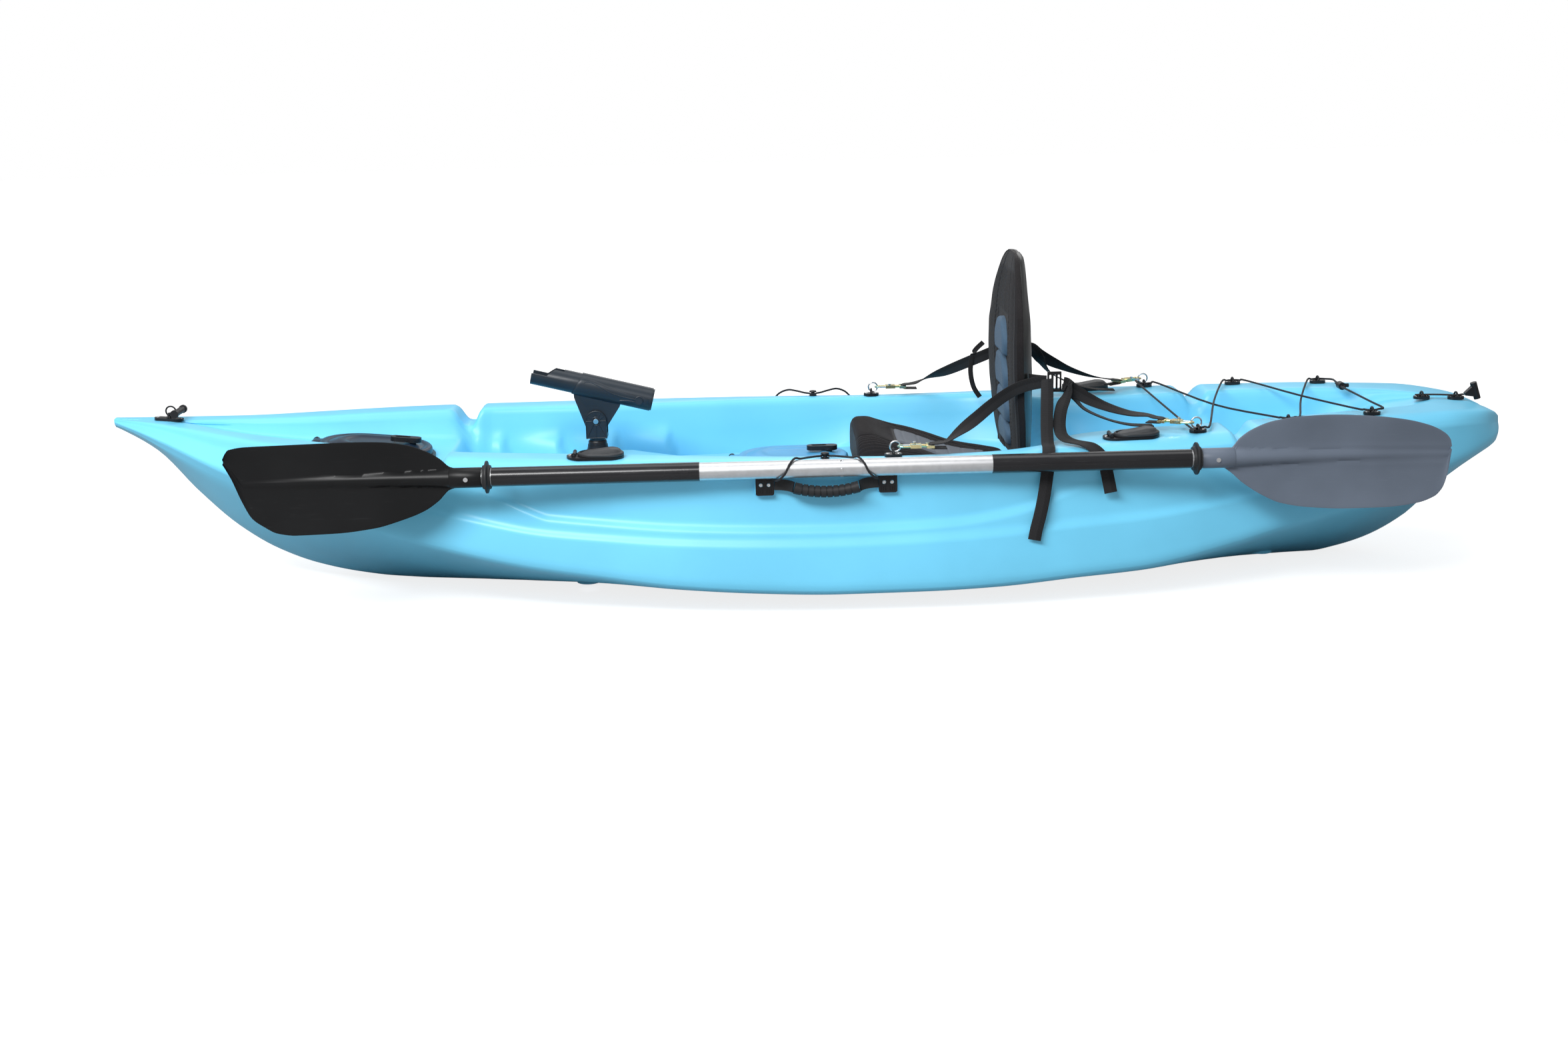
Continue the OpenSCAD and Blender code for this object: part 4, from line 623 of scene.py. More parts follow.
class Curve:
    """A smooth line through pairs of station and offset that never overshoots its points."""

    def __init__(self, pairs: Sequence[Sequence[float]]) -> None:
        """Works out the slope at each point."""
        self.x, self.y = np.array(pairs, float).T
        grade = np.diff(self.y) / np.diff(self.x)
        before, after = grade[:-1], grade[1:]
        with np.errstate(divide="ignore", invalid="ignore"):
            inner = np.where(before * after > 0, 2 * before * after / (before + after), 0.0)
        self.slope = np.concatenate([grade[:1], inner, grade[-1:]])

    def __call__(self, x: Points) -> Points:
        """The offset at each station."""
        c = np.clip(x, self.x[0], self.x[-1])
        i = np.clip(np.searchsorted(self.x, c, "right") - 1, 0, len(self.x) - 2)
        h = self.x[i + 1] - self.x[i]
        s = (c - self.x[i]) / h
        return (self.y[i] * (2 * s ** 3 - 3 * s ** 2 + 1) + self.slope[i] * h * (s ** 3 - 2 * s ** 2 + s)
                + self.y[i + 1] * (3 * s ** 2 - 2 * s ** 3) + self.slope[i + 1] * h * (s ** 3 - s ** 2))


def lookup(x: Points, pairs: Sequence[Sequence[float]], soft: float = 0.0) -> Points:
    """Straight runs between pairs, with their corners rounded over a distance.

    Args:
        x: Stations.
        pairs: Pairs of station and value.
        soft: Half the distance over which a corner is rounded.

    Returns:
        The value at each station.
    """
    at, value = np.array(pairs, float).T
    shifts = np.linspace(-soft, soft, 9) if soft else np.zeros(1)
    return np.mean([np.interp(np.asarray(x, float) + d, at, value) for d in shifts], axis=0)


@dataclass
class HullLines:
    """The lines of the hull at its design size, in millimetres, as the moulding's plug was drawn."""

    keel: Curve = field(default_factory=lambda: Curve([
        (-1350, 312), (-1338, 306), (-1271, 262), (-1201, 180), (-1129, 109), (-1055, 60),
        (-978, 29), (-900, 12), (-821, 3), (-740, 0), (1000, 0), (1050, 8), (1105, 24), (1183, 67),
        (1235, 120), (1290, 166), (1343, 202), (1350, 210)]))
    keel_flat: Curve = field(default_factory=lambda: Curve([
        (-1350, 4), (-1200, 6), (-1000, 14), (-800, 40), (-500, 76), (600, 76), (900, 34),
        (1100, 14), (1250, 14), (1350, 10)]))
    chine: Curve = field(default_factory=lambda: Curve([
        (-1350, 12), (-1300, 44), (-1250, 75), (-1200, 105), (-1150, 133), (-1090, 163),
        (-1000, 205), (-900, 248), (-830, 275), (-700, 315), (-525, 346), (-390, 362),
        (-200, 377), (0, 382), (200, 382), (400, 372), (600, 348), (770, 315), (870, 290),
        (970, 264), (1050, 242), (1170, 200), (1250, 165), (1308, 120), (1335, 85), (1350, 50)]))
    chine_z: Curve = field(default_factory=lambda: Curve([
        (-1350, 320), (-1300, 306), (-1250, 288), (-1200, 271), (-1090, 233), (-960, 196),
        (-830, 160), (-700, 131), (-525, 95), (-390, 76), (-247, 57), (-100, 46), (42, 41),
        (186, 42), (331, 46), (476, 57), (600, 65), (770, 95), (870, 117), (970, 136),
        (1050, 150), (1170, 190), (1250, 214), (1308, 228), (1350, 236)]))
    crest: Curve = field(default_factory=lambda: Curve([
        (-1350, 9), (-1300, 19), (-1250, 34), (-1200, 54), (-1150, 76), (-1089, 104),
        (-1000, 148), (-900, 188), (-800, 219), (-668, 246), (-500, 272), (-300, 291),
        (-100, 299), (145, 301), (300, 297), (500, 276), (713, 233), (850, 207), (1057, 165),
        (1200, 132), (1280, 100), (1325, 66), (1350, 36)]))
    crest_z: Curve = field(default_factory=lambda: Curve([
        (-1350, 329), (-1270, 324), (-1200, 318), (-1100, 309), (-1000, 303), (-900, 299),
        (-668, 292), (-400, 286), (0, 281), (145, 279), (300, 281), (500, 288), (713, 295),
        (900, 302), (1057, 306), (1200, 306), (1290, 298), (1330, 286), (1350, 272)]))
    band: Curve = field(default_factory=lambda: Curve([
        (-1350, 2), (-1200, 14), (-1000, 26), (-800, 36), (-500, 46), (300, 46), (500, 48),
        (713, 56), (1057, 50), (1200, 40), (1300, 24), (1350, 6)]))
    inner: Curve = field(default_factory=lambda: Curve([
        (-1350, 6), (-1250, 8), (-1219, 10), (-1127, 48), (-968, 112), (-900, 140), (-800, 172),
        (-700, 198), (-643, 215), (-400, 238), (-206, 266), (0, 286), (150, 290), (320, 285),
        (410, 262), (500, 180), (600, 158), (700, 155), (850, 145), (1000, 122), (1150, 82),
        (1210, 42), (1250, 24), (1350, 16)]))
    step_1: Curve = field(default_factory=lambda: Curve([
        (-1350, 0.76), (-620, 0.78), (-573, 0.72), (-520, 0.6), (-477, 0.53), (-266, 0.515),
        (35, 0.525), (250, 0.55), (330, 0.59), (400, 0.65), (450, 0.73), (500, 0.78),
        (1350, 0.76)]))
    step_2: Curve = field(default_factory=lambda: Curve([
        (-1350, 0.5), (-800, 0.5), (-675, 0.45), (-478, 0.37), (-250, 0.385), (34, 0.41),
        (449, 0.45), (956, 0.46), (1350, 0.5)]))


@dataclass
class Hull:
    """The moulded hull: its skin, wall, wells, rests, scuppers and openings."""

    lines: HullLines = field(default_factory=HullLines)
    wall: float = 4.5
    footwell_z: float = 100.0
    console_z: float = 225.0
    shelf_z: float = 203.0
    console_half: float = 116.0
    tank_z: float = 185.0
    seat_z: float = 165.0
    seat_front_z: float = 205.0
    sill_z: float = 232.0
    rest_front: float = 38.0
    rest_rear: float = 27.0
    foot_step: float = 21.0
    step_edges: tuple[float, ...] = (-622.0, -507.0, -392.0, -282.0)
    step_in: tuple[float, float] = (9.0, 7.0)
    spacing: float = 13.0

    def floor_profile(self) -> list[tuple[float, float]]:
        """Heights of the deck inside the gunwales."""
        top = self.lines.crest_z
        z0 = float(top(-1000)) - 41
        return [(-1350, float(top(-1350)) + 1), (-1250, float(top(-1250))),
                (-1200, float(top(-1200)) - 7), (-1100, float(top(-1100)) - 27), (-1000, z0),
                (-705, z0 - 29.5), (-655, self.footwell_z), (-60, self.footwell_z),
                (97, self.seat_z + 5), (110, self.seat_z + 5), (317, self.seat_z),
                (455, self.seat_z), (500, self.sill_z), (522, self.sill_z), (542, self.tank_z),
                (960, self.tank_z + 12), (1060, self.tank_z + 52), (1150, float(top(1150)) - 22),
                (1230, float(top(1230)) - 4), (1300, float(top(1300))),
                (1350, float(top(1350)) + 1)]

    def middle_profile(self) -> list[tuple[float, float]]:
        """Heights of the deck's middle, with the console and the seat front."""
        floor = self.floor_profile()
        return ([p for p in floor if p[0] < -654]
                + [(-530, self.footwell_z), (-470, self.console_z), (-350, self.console_z),
                   (-260, self.shelf_z), (86, self.shelf_z), (97, self.seat_front_z),
                   (110, self.seat_front_z)]
                + [p for p in floor if p[0] > 297])

    def stations(self) -> Points:
        """Stations along the hull, closer together at the rests, the ends and the steps."""
        plain = np.arange(-1350, 1350 + 1, self.spacing)
        close = [np.arange(-734, -660, 4), np.arange(766, 832, 4), np.arange(-1350, -1300, 6),
                 np.arange(1300, 1351, 5), np.arange(-705, -645, 6), np.arange(80, 116, 4),
                 np.arange(450, 550, 6), np.arange(-536, -464, 7),
                 *(np.arange(edge - 24, edge + 36, 4) for edge in self.step_edges)]
        every = np.unique(np.concatenate([plain, *close, [1350]]).round(1))
        keep = [every[0]]
        for x in every[1:]:
            if x - keep[-1] > 2.4:
                keep.append(x)
        keep[-1] = 1350.0
        return np.array(keep)

    def cut(self, x: Points) -> Points:
        """How far the gunwale is cut down for the paddle rests."""
        front = [(-730, 0), (-720, 0.18), (-706, 0.85), (-696, 1), (-686, 0.9), (-674, 0.2), (-666, 0)]
        rear = [(770, 0), (778, 0.2), (788, 0.9), (798, 1), (808, 0.9), (820, 0.2), (828, 0)]
        return self.rest_front * lookup(x, front, 3) + self.rest_rear * lookup(x, rear, 3)

    def tooth(self, x: Points) -> Points:
        """The sawtooth of the foot steps, from 0 to 1: each grows aft and then drops back."""
        points = [(-705, 0)]
        for edge in self.step_edges:
            points += [(edge, 1), (edge + 13, 0.04)]
        return lookup(x, [*points, (points[-1][0] + 60, 0)], 3)

    def half_section(self, x: Points) -> tuple[Points, Points]:
        """One half of each section as corner points, and the radius of each corner.

        Args:
            x: Stations.

        Returns:
            Corners by station, corner and (offset, height), and their radii.
        """
        ln = self.lines
        keel, flat, chine, chine_z = ln.keel(x), ln.keel_flat(x), ln.chine(x), ln.chine_z(x)
        crest, top, strip, well = ln.crest(x), ln.crest_z(x), ln.band(x), ln.inner(x)
        h1, h2, cut = ln.step_1(x), ln.step_2(x), self.cut(x)
        in_1 = self.step_in[0] * lookup(x, [(-640, 0), (-540, 1), (420, 1), (520, 0)], 20)
        in_2 = self.step_in[1] * lookup(x, [(-820, 0), (-660, 1), (900, 1), (1120, 0)], 20)
        floor = np.minimum(lookup(x, self.floor_profile(), 7), top + 1)
        middle = np.minimum(lookup(x, self.middle_profile(), 7), top + 1)
        seat = lookup(x, [(-260, 0), (97, 1), (455, 1), (500, 0)])
        narrow = lookup(x, [(-340, 0.7), (-260, 1)], 15)
        console = np.minimum(self.console_half * narrow + seat * 44, well * 0.62)
        foot = np.minimum(console + 20, well * 0.72)
        run = np.minimum(34, well * 0.2)
        power = lookup(x, [(-1300, 1), (-700, 1.15), (0, 1.7), (700, 1.3), (1300, 1)])
        roll = np.minimum(22, 0.35 * (top - chine_z))
        z0 = chine_z + np.minimum(12, 0.3 * (top - chine_z))
        brim = crest + strip + np.minimum(12, 0.3 * strip)
        lip = np.minimum(8, 0.15 * well)
        tooth, ahead, behind = (self.foot_step * self.tooth(x + d) for d in (0, 9, -14))
        drop = np.maximum(0, top - cut - floor)
        flat_out = np.minimum(24, 0.6 * strip)
        t = 0.035

        def bilge(s: float) -> tuple[Points, Points]:
            """A point of the bottom, from the keel to the chine."""
            return flat + (chine - flat) * s, keel + (chine_z - keel) * s ** power

        def side(s: Points | float, inset: Points | float) -> tuple[Points, Points]:
            """A point of the side, from the chine to the gunwale."""
            return chine + (brim - chine) * s ** 1.25 - inset, z0 + (top - roll - z0) * s

        low = bilge(1.0)
        high = side(1.0, 0.0)
        rows = [
            (0 * x, keel, 0), (flat, keel, 30), (*bilge(0.3), 999), (*bilge(0.6), 999),
            (*bilge(0.85), 999), (low[0] - np.minimum(7, 0.1 * chine), low[1], 12),
            (*side(0.02, 0.0), 12), (*side(h2 - t, 0.0), 5), (*side(h2 + t, in_2), 7),
            (*side(h1 - t, in_2), 5), (*side(h1 + t, in_1 + in_2), 7),
            (*side(0.87, 0.6 * in_1 + 0.5 * in_2), 16), (high[0], high[1] - 0.5 * cut, 18),
            (crest + strip, top - 0.18 * strip - 0.9 * cut, 14), (crest + flat_out, top - cut, 11),
            (well + lip, top - cut, 9),
            (well, top - np.minimum(7, 0.3 * lip + 0.35 * np.maximum(0, top - floor)) - cut, 9),
            (well - 0.22 * run, floor + 0.72 * drop, 14), (well - 0.3 * run - 0.7 * ahead, floor + 0.6 * drop, 12),
            (well - 0.5 * run - 0.9 * tooth, floor + 0.4 * drop, 60),
            (well - run - behind, floor + 0.04 * np.maximum(0, top - floor), 22),
            (foot, floor, 14), (console, middle, 13), (0 * x, middle, 0)]
        corners = np.stack([np.stack([r[0], r[1]], axis=1) for r in rows], axis=1)
        return corners, np.array([r[2] for r in rows], float)

    def rounded(self, corners: Points, radii: Points) -> Points:
        """Sections whose corners are drawn as short curves.

        Args:
            corners: Corners by station.
            radii: The radius of each corner; 999 runs one curve into the next.

        Returns:
            The denser sections.
        """
        out = [corners[:, 0]]
        for i in range(1, corners.shape[1] - 1):
            here = corners[:, i]
            back, ahead = corners[:, i - 1] - here, corners[:, i + 1] - here
            la = np.maximum(np.linalg.norm(back, axis=1, keepdims=True), 1e-6)
            lb = np.maximum(np.linalg.norm(ahead, axis=1, keepdims=True), 1e-6)
            a = here + back * np.minimum(radii[i] / la, 0.48)
            b = here + ahead * np.minimum(radii[i] / lb, 0.48)
            for s in (0.0, 0.34, 0.66, 1.0):
                out.append(a * (1 - s) ** 2 + here * 2 * s * (1 - s) + b * s ** 2)
        out.append(corners[:, -1])
        return np.stack(out, axis=1)

    def skin(self) -> bmesh.types.BMesh:
        """The closed outer skin."""
        x = self.stations()
        half = self.rounded(*self.half_section(x))
        port = np.stack([np.repeat(x[:, None], half.shape[1], 1), -half[..., 0], half[..., 1]], axis=2)
        starboard = port[:, -2:0:-1] * np.array([1, -1, 1])
        return SHOP.loft(np.concatenate([port, starboard], axis=1) * MM)

    def mount(self, name: str) -> dict:
        """A mount of the record, by its name."""
        return next(m for m in frame["record"]["mounts"] if m["name"] == name)

    def cutters(self) -> tuple[bmesh.types.BMesh, bmesh.types.BMesh]:
        """What is added for the scupper walls, and what is cut away.

        Returns:
            The scupper tubes and the holes.
        """
        tubes, holes = bmesh.new(), bmesh.new()
        for m in frame["record"]["mounts"]:
            if not m["name"].startswith("scupper"):
                continue
            radius, long = m["dims"]["r_mm"] * MM, m["dims"]["length_mm"] * MM
            spot = Matrix.Translation(Vector(m["pos_m"]))
            bmesh.ops.create_cone(tubes, cap_ends=True, segments=32, radius1=radius + 0.006,
                                  radius2=radius + 0.006, depth=long - 0.007, matrix=spot)
            bmesh.ops.create_cone(holes, cap_ends=True, segments=48, radius1=radius,
                                  radius2=radius, depth=long + 0.08, matrix=spot)
        for node in ("front_hatch_rim", "mid_hatch_rim"):
            low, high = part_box(node)
            middle = (low + high) / 2
            tilt = Matrix.Rotation(math.atan(0.1) if node.startswith("front") else 0.0, 4, "Y")
            outline = stadium(0.2006, 0.1586, 64)
            rings = np.array([[[x, y, z] for x, y in outline] for z in (-0.04, 0.04)])
            pocket = SHOP.loft(rings)
            centre = Vector((-0.850, 0, 0.247)) if node.startswith("front") else Vector((-0.031, 0, 0.203))
            LOG.info("%s middle %s", node, middle)
            bmesh.ops.transform(pocket, matrix=Matrix.Translation(centre) @ tilt, verts=pocket.verts)
            self.take(holes, pocket)
        for side in ("port", "starboard"):
            for end in ("front", "rear"):
                m = self.mount(f"flush_{side}_{end}_bore")
                turn = Vector((0, 0, 1)).rotation_difference(Vector(m["axis"])).to_matrix().to_4x4()
                spot = Matrix.Translation(Vector(m["pos_m"]) + Vector(m["axis"]) * 0.08) @ turn
                bmesh.ops.create_cone(holes, cap_ends=True, segments=48, radius1=0.0234,
                                      radius2=0.0234, depth=0.11, matrix=spot)
        low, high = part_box("drain_plug")
        spot = Matrix.Translation(((low.x + high.x) / 2, 0, (low.z + high.z) / 2)) @ Matrix.Rotation(
            math.pi / 2, 4, "Y")
        bmesh.ops.create_cone(holes, cap_ends=True, segments=32, radius1=0.00905, radius2=0.00905,
                              depth=0.09, matrix=spot)
        return tubes, holes

    def take(self, into: bmesh.types.BMesh, other: bmesh.types.BMesh) -> None:
        """Adds another mesh to this one, and frees it."""
        mesh = bpy.data.meshes.new("passing")
        other.to_mesh(mesh)
        other.free()
        into.from_mesh(mesh)
        bpy.data.meshes.remove(mesh)

    def cut_with(self, target: bpy.types.Object, bm: bmesh.types.BMesh, operation: str) -> None:
        """Adds or cuts a mesh, with the modifier's result applied.

        Args:
            target: The object to change.
            bm: The tool's mesh, which is freed.
            operation: UNION or DIFFERENCE.
        """
        mesh = bpy.data.meshes.new("cutter")
        bmesh.ops.recalc_face_normals(bm, faces=bm.faces)
        bm.to_mesh(mesh)
        bm.free()
        tool = bpy.data.objects.new("cutter", mesh)
        bpy.context.scene.collection.objects.link(tool)
        step = target.modifiers.new("cut", "BOOLEAN")
        step.operation = operation
        step.solver = "MANIFOLD"
        step.object = tool
        done = target.evaluated_get(bpy.context.evaluated_depsgraph_get())
        result = bpy.data.meshes.new_from_object(done)
        target.modifiers.remove(step)
        old = target.data
        target.data = result
        bpy.data.meshes.remove(old)
        bpy.data.objects.remove(tool)
        bpy.data.meshes.remove(mesh)

    def bosses(self) -> bmesh.types.BMesh:
        """The flat bosses that carry the handle plates."""
        bm = bmesh.new()
        low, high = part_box("handle_plates")
        width, height = 0.038, high.z - low.z
        for x in (low.x + 0.0165, high.x - 0.0165):
            for way in (-1, 1):
                y = way * (high.y - 0.0052 - 0.0068)
                made = bmesh.ops.create_cube(bm, size=1.0, matrix=Matrix.Translation(
                    (x, y, (low.z + high.z) / 2)) @ Matrix.Diagonal((width, 0.0135, height - 0.001, 1)))
                edges = list({e for v in made["verts"] for e in v.link_edges})
                bmesh.ops.bevel(bm, geom=edges, offset=0.003, segments=3, affect="EDGES",
                                profile=0.5, material=-1)
        return bm

    def build(self) -> None:
        """Makes the hull and stands it for its CAD node."""
        bm = self.skin()
        wall = bm.copy()
        for vert in wall.verts:
            vert.co = vert.co - vert.normal * (self.wall * MM)
        bmesh.ops.reverse_faces(wall, faces=wall.faces)
        self.take(bm, wall)
        hull = SHOP.piece("hull_shell", bm, HULL_BLUE, "kayak", ["hull_moulding"])
        tubes, holes = self.cutters()
        self.cut_with(hull, self.bosses(), "UNION")
        self.cut_with(hull, tubes, "UNION")
        self.cut_with(hull, holes, "DIFFERENCE")
        for face in hull.data.polygons:
            face.use_smooth = True
        hull.data.set_sharp_from_angle(angle=math.radians(42))
        LOG.info("hull_shell after its openings: %d faces", len(hull.data.polygons))


@dataclass
class Hatch:
    """A hatch: rim, gasket, dished lid and turning latch."""

    end: str
    centre: Vector
    tilt: float
    length: float = 232.0
    width: float = 190.0

    def place(self) -> Matrix:
        """Where the hatch lies on the deck."""
        return Matrix.Translation(self.centre) @ Matrix.Rotation(self.tilt, 4, "Y")

    def lid(self) -> bmesh.types.BMesh:
        """The lid: skirt, rolled edge, raised ring and dished middle, with its hinge knuckle."""
        long, wide = self.length - 12, self.width - 12
        rows = [(0, 5.7), (0, 12), (1.2, 17), (3.6, 19.4), (8, 20.4), (13, 20.2), (16, 18.6), (18, 18.4),
                (22, 20), (28, 21.6), (34, 23.6), (38, 24.8), (43, 25.3), (48, 25.3), (52, 24.4),
                (56, 22.9), (62, 22.6), (72, 22.5)]
        rows = [(7, 5.7), *rows]
        rings = []
        for inset, z in rows:
            outline = stadium(long - 2 * inset, wide - 2 * inset, 96)
            rings.append([[x, y, z] for x, y in outline])
        bm = SHOP.loft(np.array(rings) * MM)
        pin = Matrix.Translation((-0.120, 0, 0.012)) @ Matrix.Rotation(math.pi / 2, 4, "X")
        bmesh.ops.create_cone(bm, cap_ends=True, segments=32, radius1=0.0062, radius2=0.0062,
                              depth=0.028, matrix=pin)
        arm = bmesh.ops.create_cube(bm, size=1.0, matrix=Matrix.Translation((-0.110, 0, 0.0145))
                                    @ Matrix.Diagonal((0.022, 0.028, 0.0075, 1)))
        edges = list({e for v in arm["verts"] for e in v.link_edges})
        bmesh.ops.bevel(bm, geom=edges, offset=0.0016, segments=2, affect="EDGES", profile=0.5,
                        material=-1)
        bmesh.ops.transform(bm, matrix=self.place(), verts=bm.verts)
        return bm

    def build(self) -> None:
        """Makes the hatch's pieces."""
        lid = f"{self.end}_hatch_lid"
        # The front lid's blue tint is a painted sky reflection over near-black plastic.
        # The mid lid's darker blue is painted shade on a hull-blue lid.
        finish = LID_BLACK_SKY_REFLECTION if self.end == "front" else LID_BLUE_PAINTED_SHADE
        SHOP.piece(lid + "_moulding", self.lid(), finish, body_of(lid), [lid], 30)
        SHOP.refined(f"{self.end}_hatch_rim", BLACK, 0.0008)
        SHOP.refined(f"{self.end}_hatch_latch", BLACK, 0.0012)


@dataclass
class RodHolder:
    """The swivel rod holder on the console."""

    pivot: Vector = field(default_factory=lambda: Vector((-0.414, 0, 0.302)))
    tilt: float = math.radians(14.2)
    radius: float = 0.0210

    def on_tube(self, x: float, angle: float, out: float) -> list[float]:
        """A point on the tube, by its place along it, angle from the side and distance out."""
        r = self.radius + out
        local = Vector((-0.0204 + x, -r * math.cos(angle), 0.0624 + r * math.sin(angle)))
        return list(self.pivot + Matrix.Rotation(self.tilt, 3, "Y") @ local)

    def saddle(self, side: int) -> bmesh.types.BMesh:
        """The clamp panel on one side of the tube, with its slanted nose and waved lower edge.

        Args:
            side: -1 for port and 1 for starboard.

        Returns:
            The mesh.
        """
        rows, cols = 46, 18
        top = Curve([(0, 38), (0.06, 50), (0.2, 44), (0.45, 24), (0.7, 14), (0.9, 11), (1, 12)])
        low = Curve([(0, -64), (0.5, -62), (0.62, -48), (0.7, -34), (0.8, -30), (1, -30)])
        front, back = [], []
        for u in np.linspace(0, 1, rows):
            hi, lo = float(top(np.array(u))), float(low(np.array(u)))
            line, under = [], []
            for v in np.linspace(0, 1, cols):
                angle = math.radians(lo + (hi - lo) * v)
                x = -0.026 + 0.139 * u - 0.012 * (1 - u) * (1 - v)
                edge = min(u / 0.04, (1 - u) / 0.04, v / 0.1, (1 - v) / 0.1, 1)
                out = 0.0019 + 0.0018 * math.sqrt(max(0.0, 1 - (1 - edge) ** 2))
                line.append(self.on_tube(x, angle, out))
                under.append(self.on_tube(x, angle, 0.0004))
            front.append(line)
            back.append(under[::-1])
        rings = np.concatenate([np.array(front), np.array(back)], axis=1)
        bm = SHOP.loft(rings)
        if side == 1:
            bmesh.ops.scale(bm, vec=(1, -1, 1), verts=bm.verts)
            bmesh.ops.reverse_faces(bm, faces=bm.faces)
        return bm

    def wave_rib(self, side: int) -> bmesh.types.BMesh:
        """The raised S-shaped rib on the clamp panel, and the ring round its boss."""
        upper = Curve([(0, 8), (0.05, 25), (0.12, 28), (0.3, 14), (0.5, -2), (0.7, -6), (0.9, -6)])
        lower = Curve([(0.62, -27), (0.72, -20), (0.8, -18), (0.9, -18)])
        bm = bmesh.new()
        for curve, span in ((upper, (0.02, 0.88)), (lower, (0.62, 0.86))):
            path = np.array([self.on_tube(-0.020 + 0.125 * u, math.radians(float(curve(np.array(u)))), 0.0037)
                             for u in np.linspace(*span, 40)])
            Hull().take(bm, tube(path, 0.0012, 8))
        turn = np.linspace(0, 2 * math.pi, 33)
        ring = np.array([self.on_tube(0.094 + 0.0075 * math.cos(a), math.radians(-8) + 0.33 * math.sin(a), 0.0039)
                         for a in turn])
        Hull().take(bm, tube(ring, 0.0012, 8))
        if side == 1:
            bmesh.ops.scale(bm, vec=(1, -1, 1), verts=bm.verts)
            bmesh.ops.reverse_faces(bm, faces=bm.faces)
        return bm

    def mouth(self) -> bmesh.types.BMesh:
        """The part that is cut away at the tube's open front, with its sloped shoulder."""
        outline = [(-0.106, 0.0035), (-0.0715, 0.0035), (-0.0515, 0.0245), (-0.0515, 0.034), (-0.106, 0.034)]
        shift = Matrix.Translation(self.pivot) @ Matrix.Rotation(self.tilt, 4, "Y")
        rings = [[list(shift @ Vector((-0.0404 + x, y, 0.0624 + z))) for x, z in outline]
                 for y in (-0.03, 0.03)]
        return SHOP.loft(np.array(rings))

    def yoke_frame(self, side: int) -> bmesh.types.BMesh:
        """The raised frame of a yoke cheek: an arch, its foot, a hub ring and spokes.

        Args:
            side: -1 for port and 1 for starboard.

        Returns:
            The mesh.
        """
        out, reach, foot, hub = side * 0.0182, 0.0195, -0.0335, 0.0082
        arch = [(reach * math.cos(a), reach * math.sin(a)) for a in np.linspace(0, math.pi, 25)]
        ring = [(hub * math.cos(a), hub * math.sin(a)) for a in np.linspace(0, 2 * math.pi, 25)]
        spokes = [[(hub, 0), (reach, 0)], [(-hub, 0), (-reach, 0)], [(0, hub), (0, reach)],
                  [(0, -hub), (0, foot)], [(0.0052, -0.0066), (0.0185, foot)],
                  [(-0.0052, -0.0066), (-0.0185, foot)]]
        bm = bmesh.new()
        for line in ([(reach, foot), *arch, (-reach, foot), (reach, foot)], ring, *spokes):
            path = np.array([[self.pivot.x + x, out, self.pivot.z + z] for x, z in line])
            Hull().take(bm, tube(path, 0.0009, 8))
        return bm

    def collar(self) -> bmesh.types.BMesh:
        """The flared foot of the swivel's collar."""
        rows = [(18.4, 9.5), (28, 9.5), (27.2, 11), (23.6, 14.5), (21.2, 19), (19.9, 24), (19.4, 28),
                (18.4, 28), (18.4, 9.5)]
        turn = np.linspace(0, 2 * math.pi, 64, endpoint=False)
        rings = np.array([[[r * math.cos(a), r * math.sin(a), z] for a in turn] for r, z in rows]) * MM
        bm = SHOP.loft(rings + np.array([self.pivot.x, 0, 0.225]), caps=False)
        bmesh.ops.remove_doubles(bm, verts=bm.verts, dist=1e-6)
        return bm

    def build(self) -> None:
        """Makes the holder's pieces."""
        SHOP.refined("rod_base", BLACK, 0.001)
        SHOP.piece("rod_collar_foot", self.collar(), BLACK, "kayak")
        SHOP.refined("rod_yoke", TUBE_PLASTIC, 0.0004)
        made = SHOP.refined("rod_tube", TUBE_PLASTIC, 0.0)
        Hull().cut_with(made, self.mouth(), "DIFFERENCE")
        SHOP.soften(made, 0.0007)
        SHOP.refined("rod_pivot_bolt", STEEL, 0.0003)
        for side, name in ((-1, "port"), (1, "starboard")):
            SHOP.piece(f"rod_saddle_{name}", self.saddle(side), TUBE_PLASTIC, "rod_cradle")
            SHOP.piece(f"rod_saddle_rib_{name}", self.wave_rib(side), TUBE_PLASTIC, "rod_cradle")
            SHOP.piece(f"rod_yoke_frame_{name}", self.yoke_frame(side), TUBE_PLASTIC, "rod_swivel")


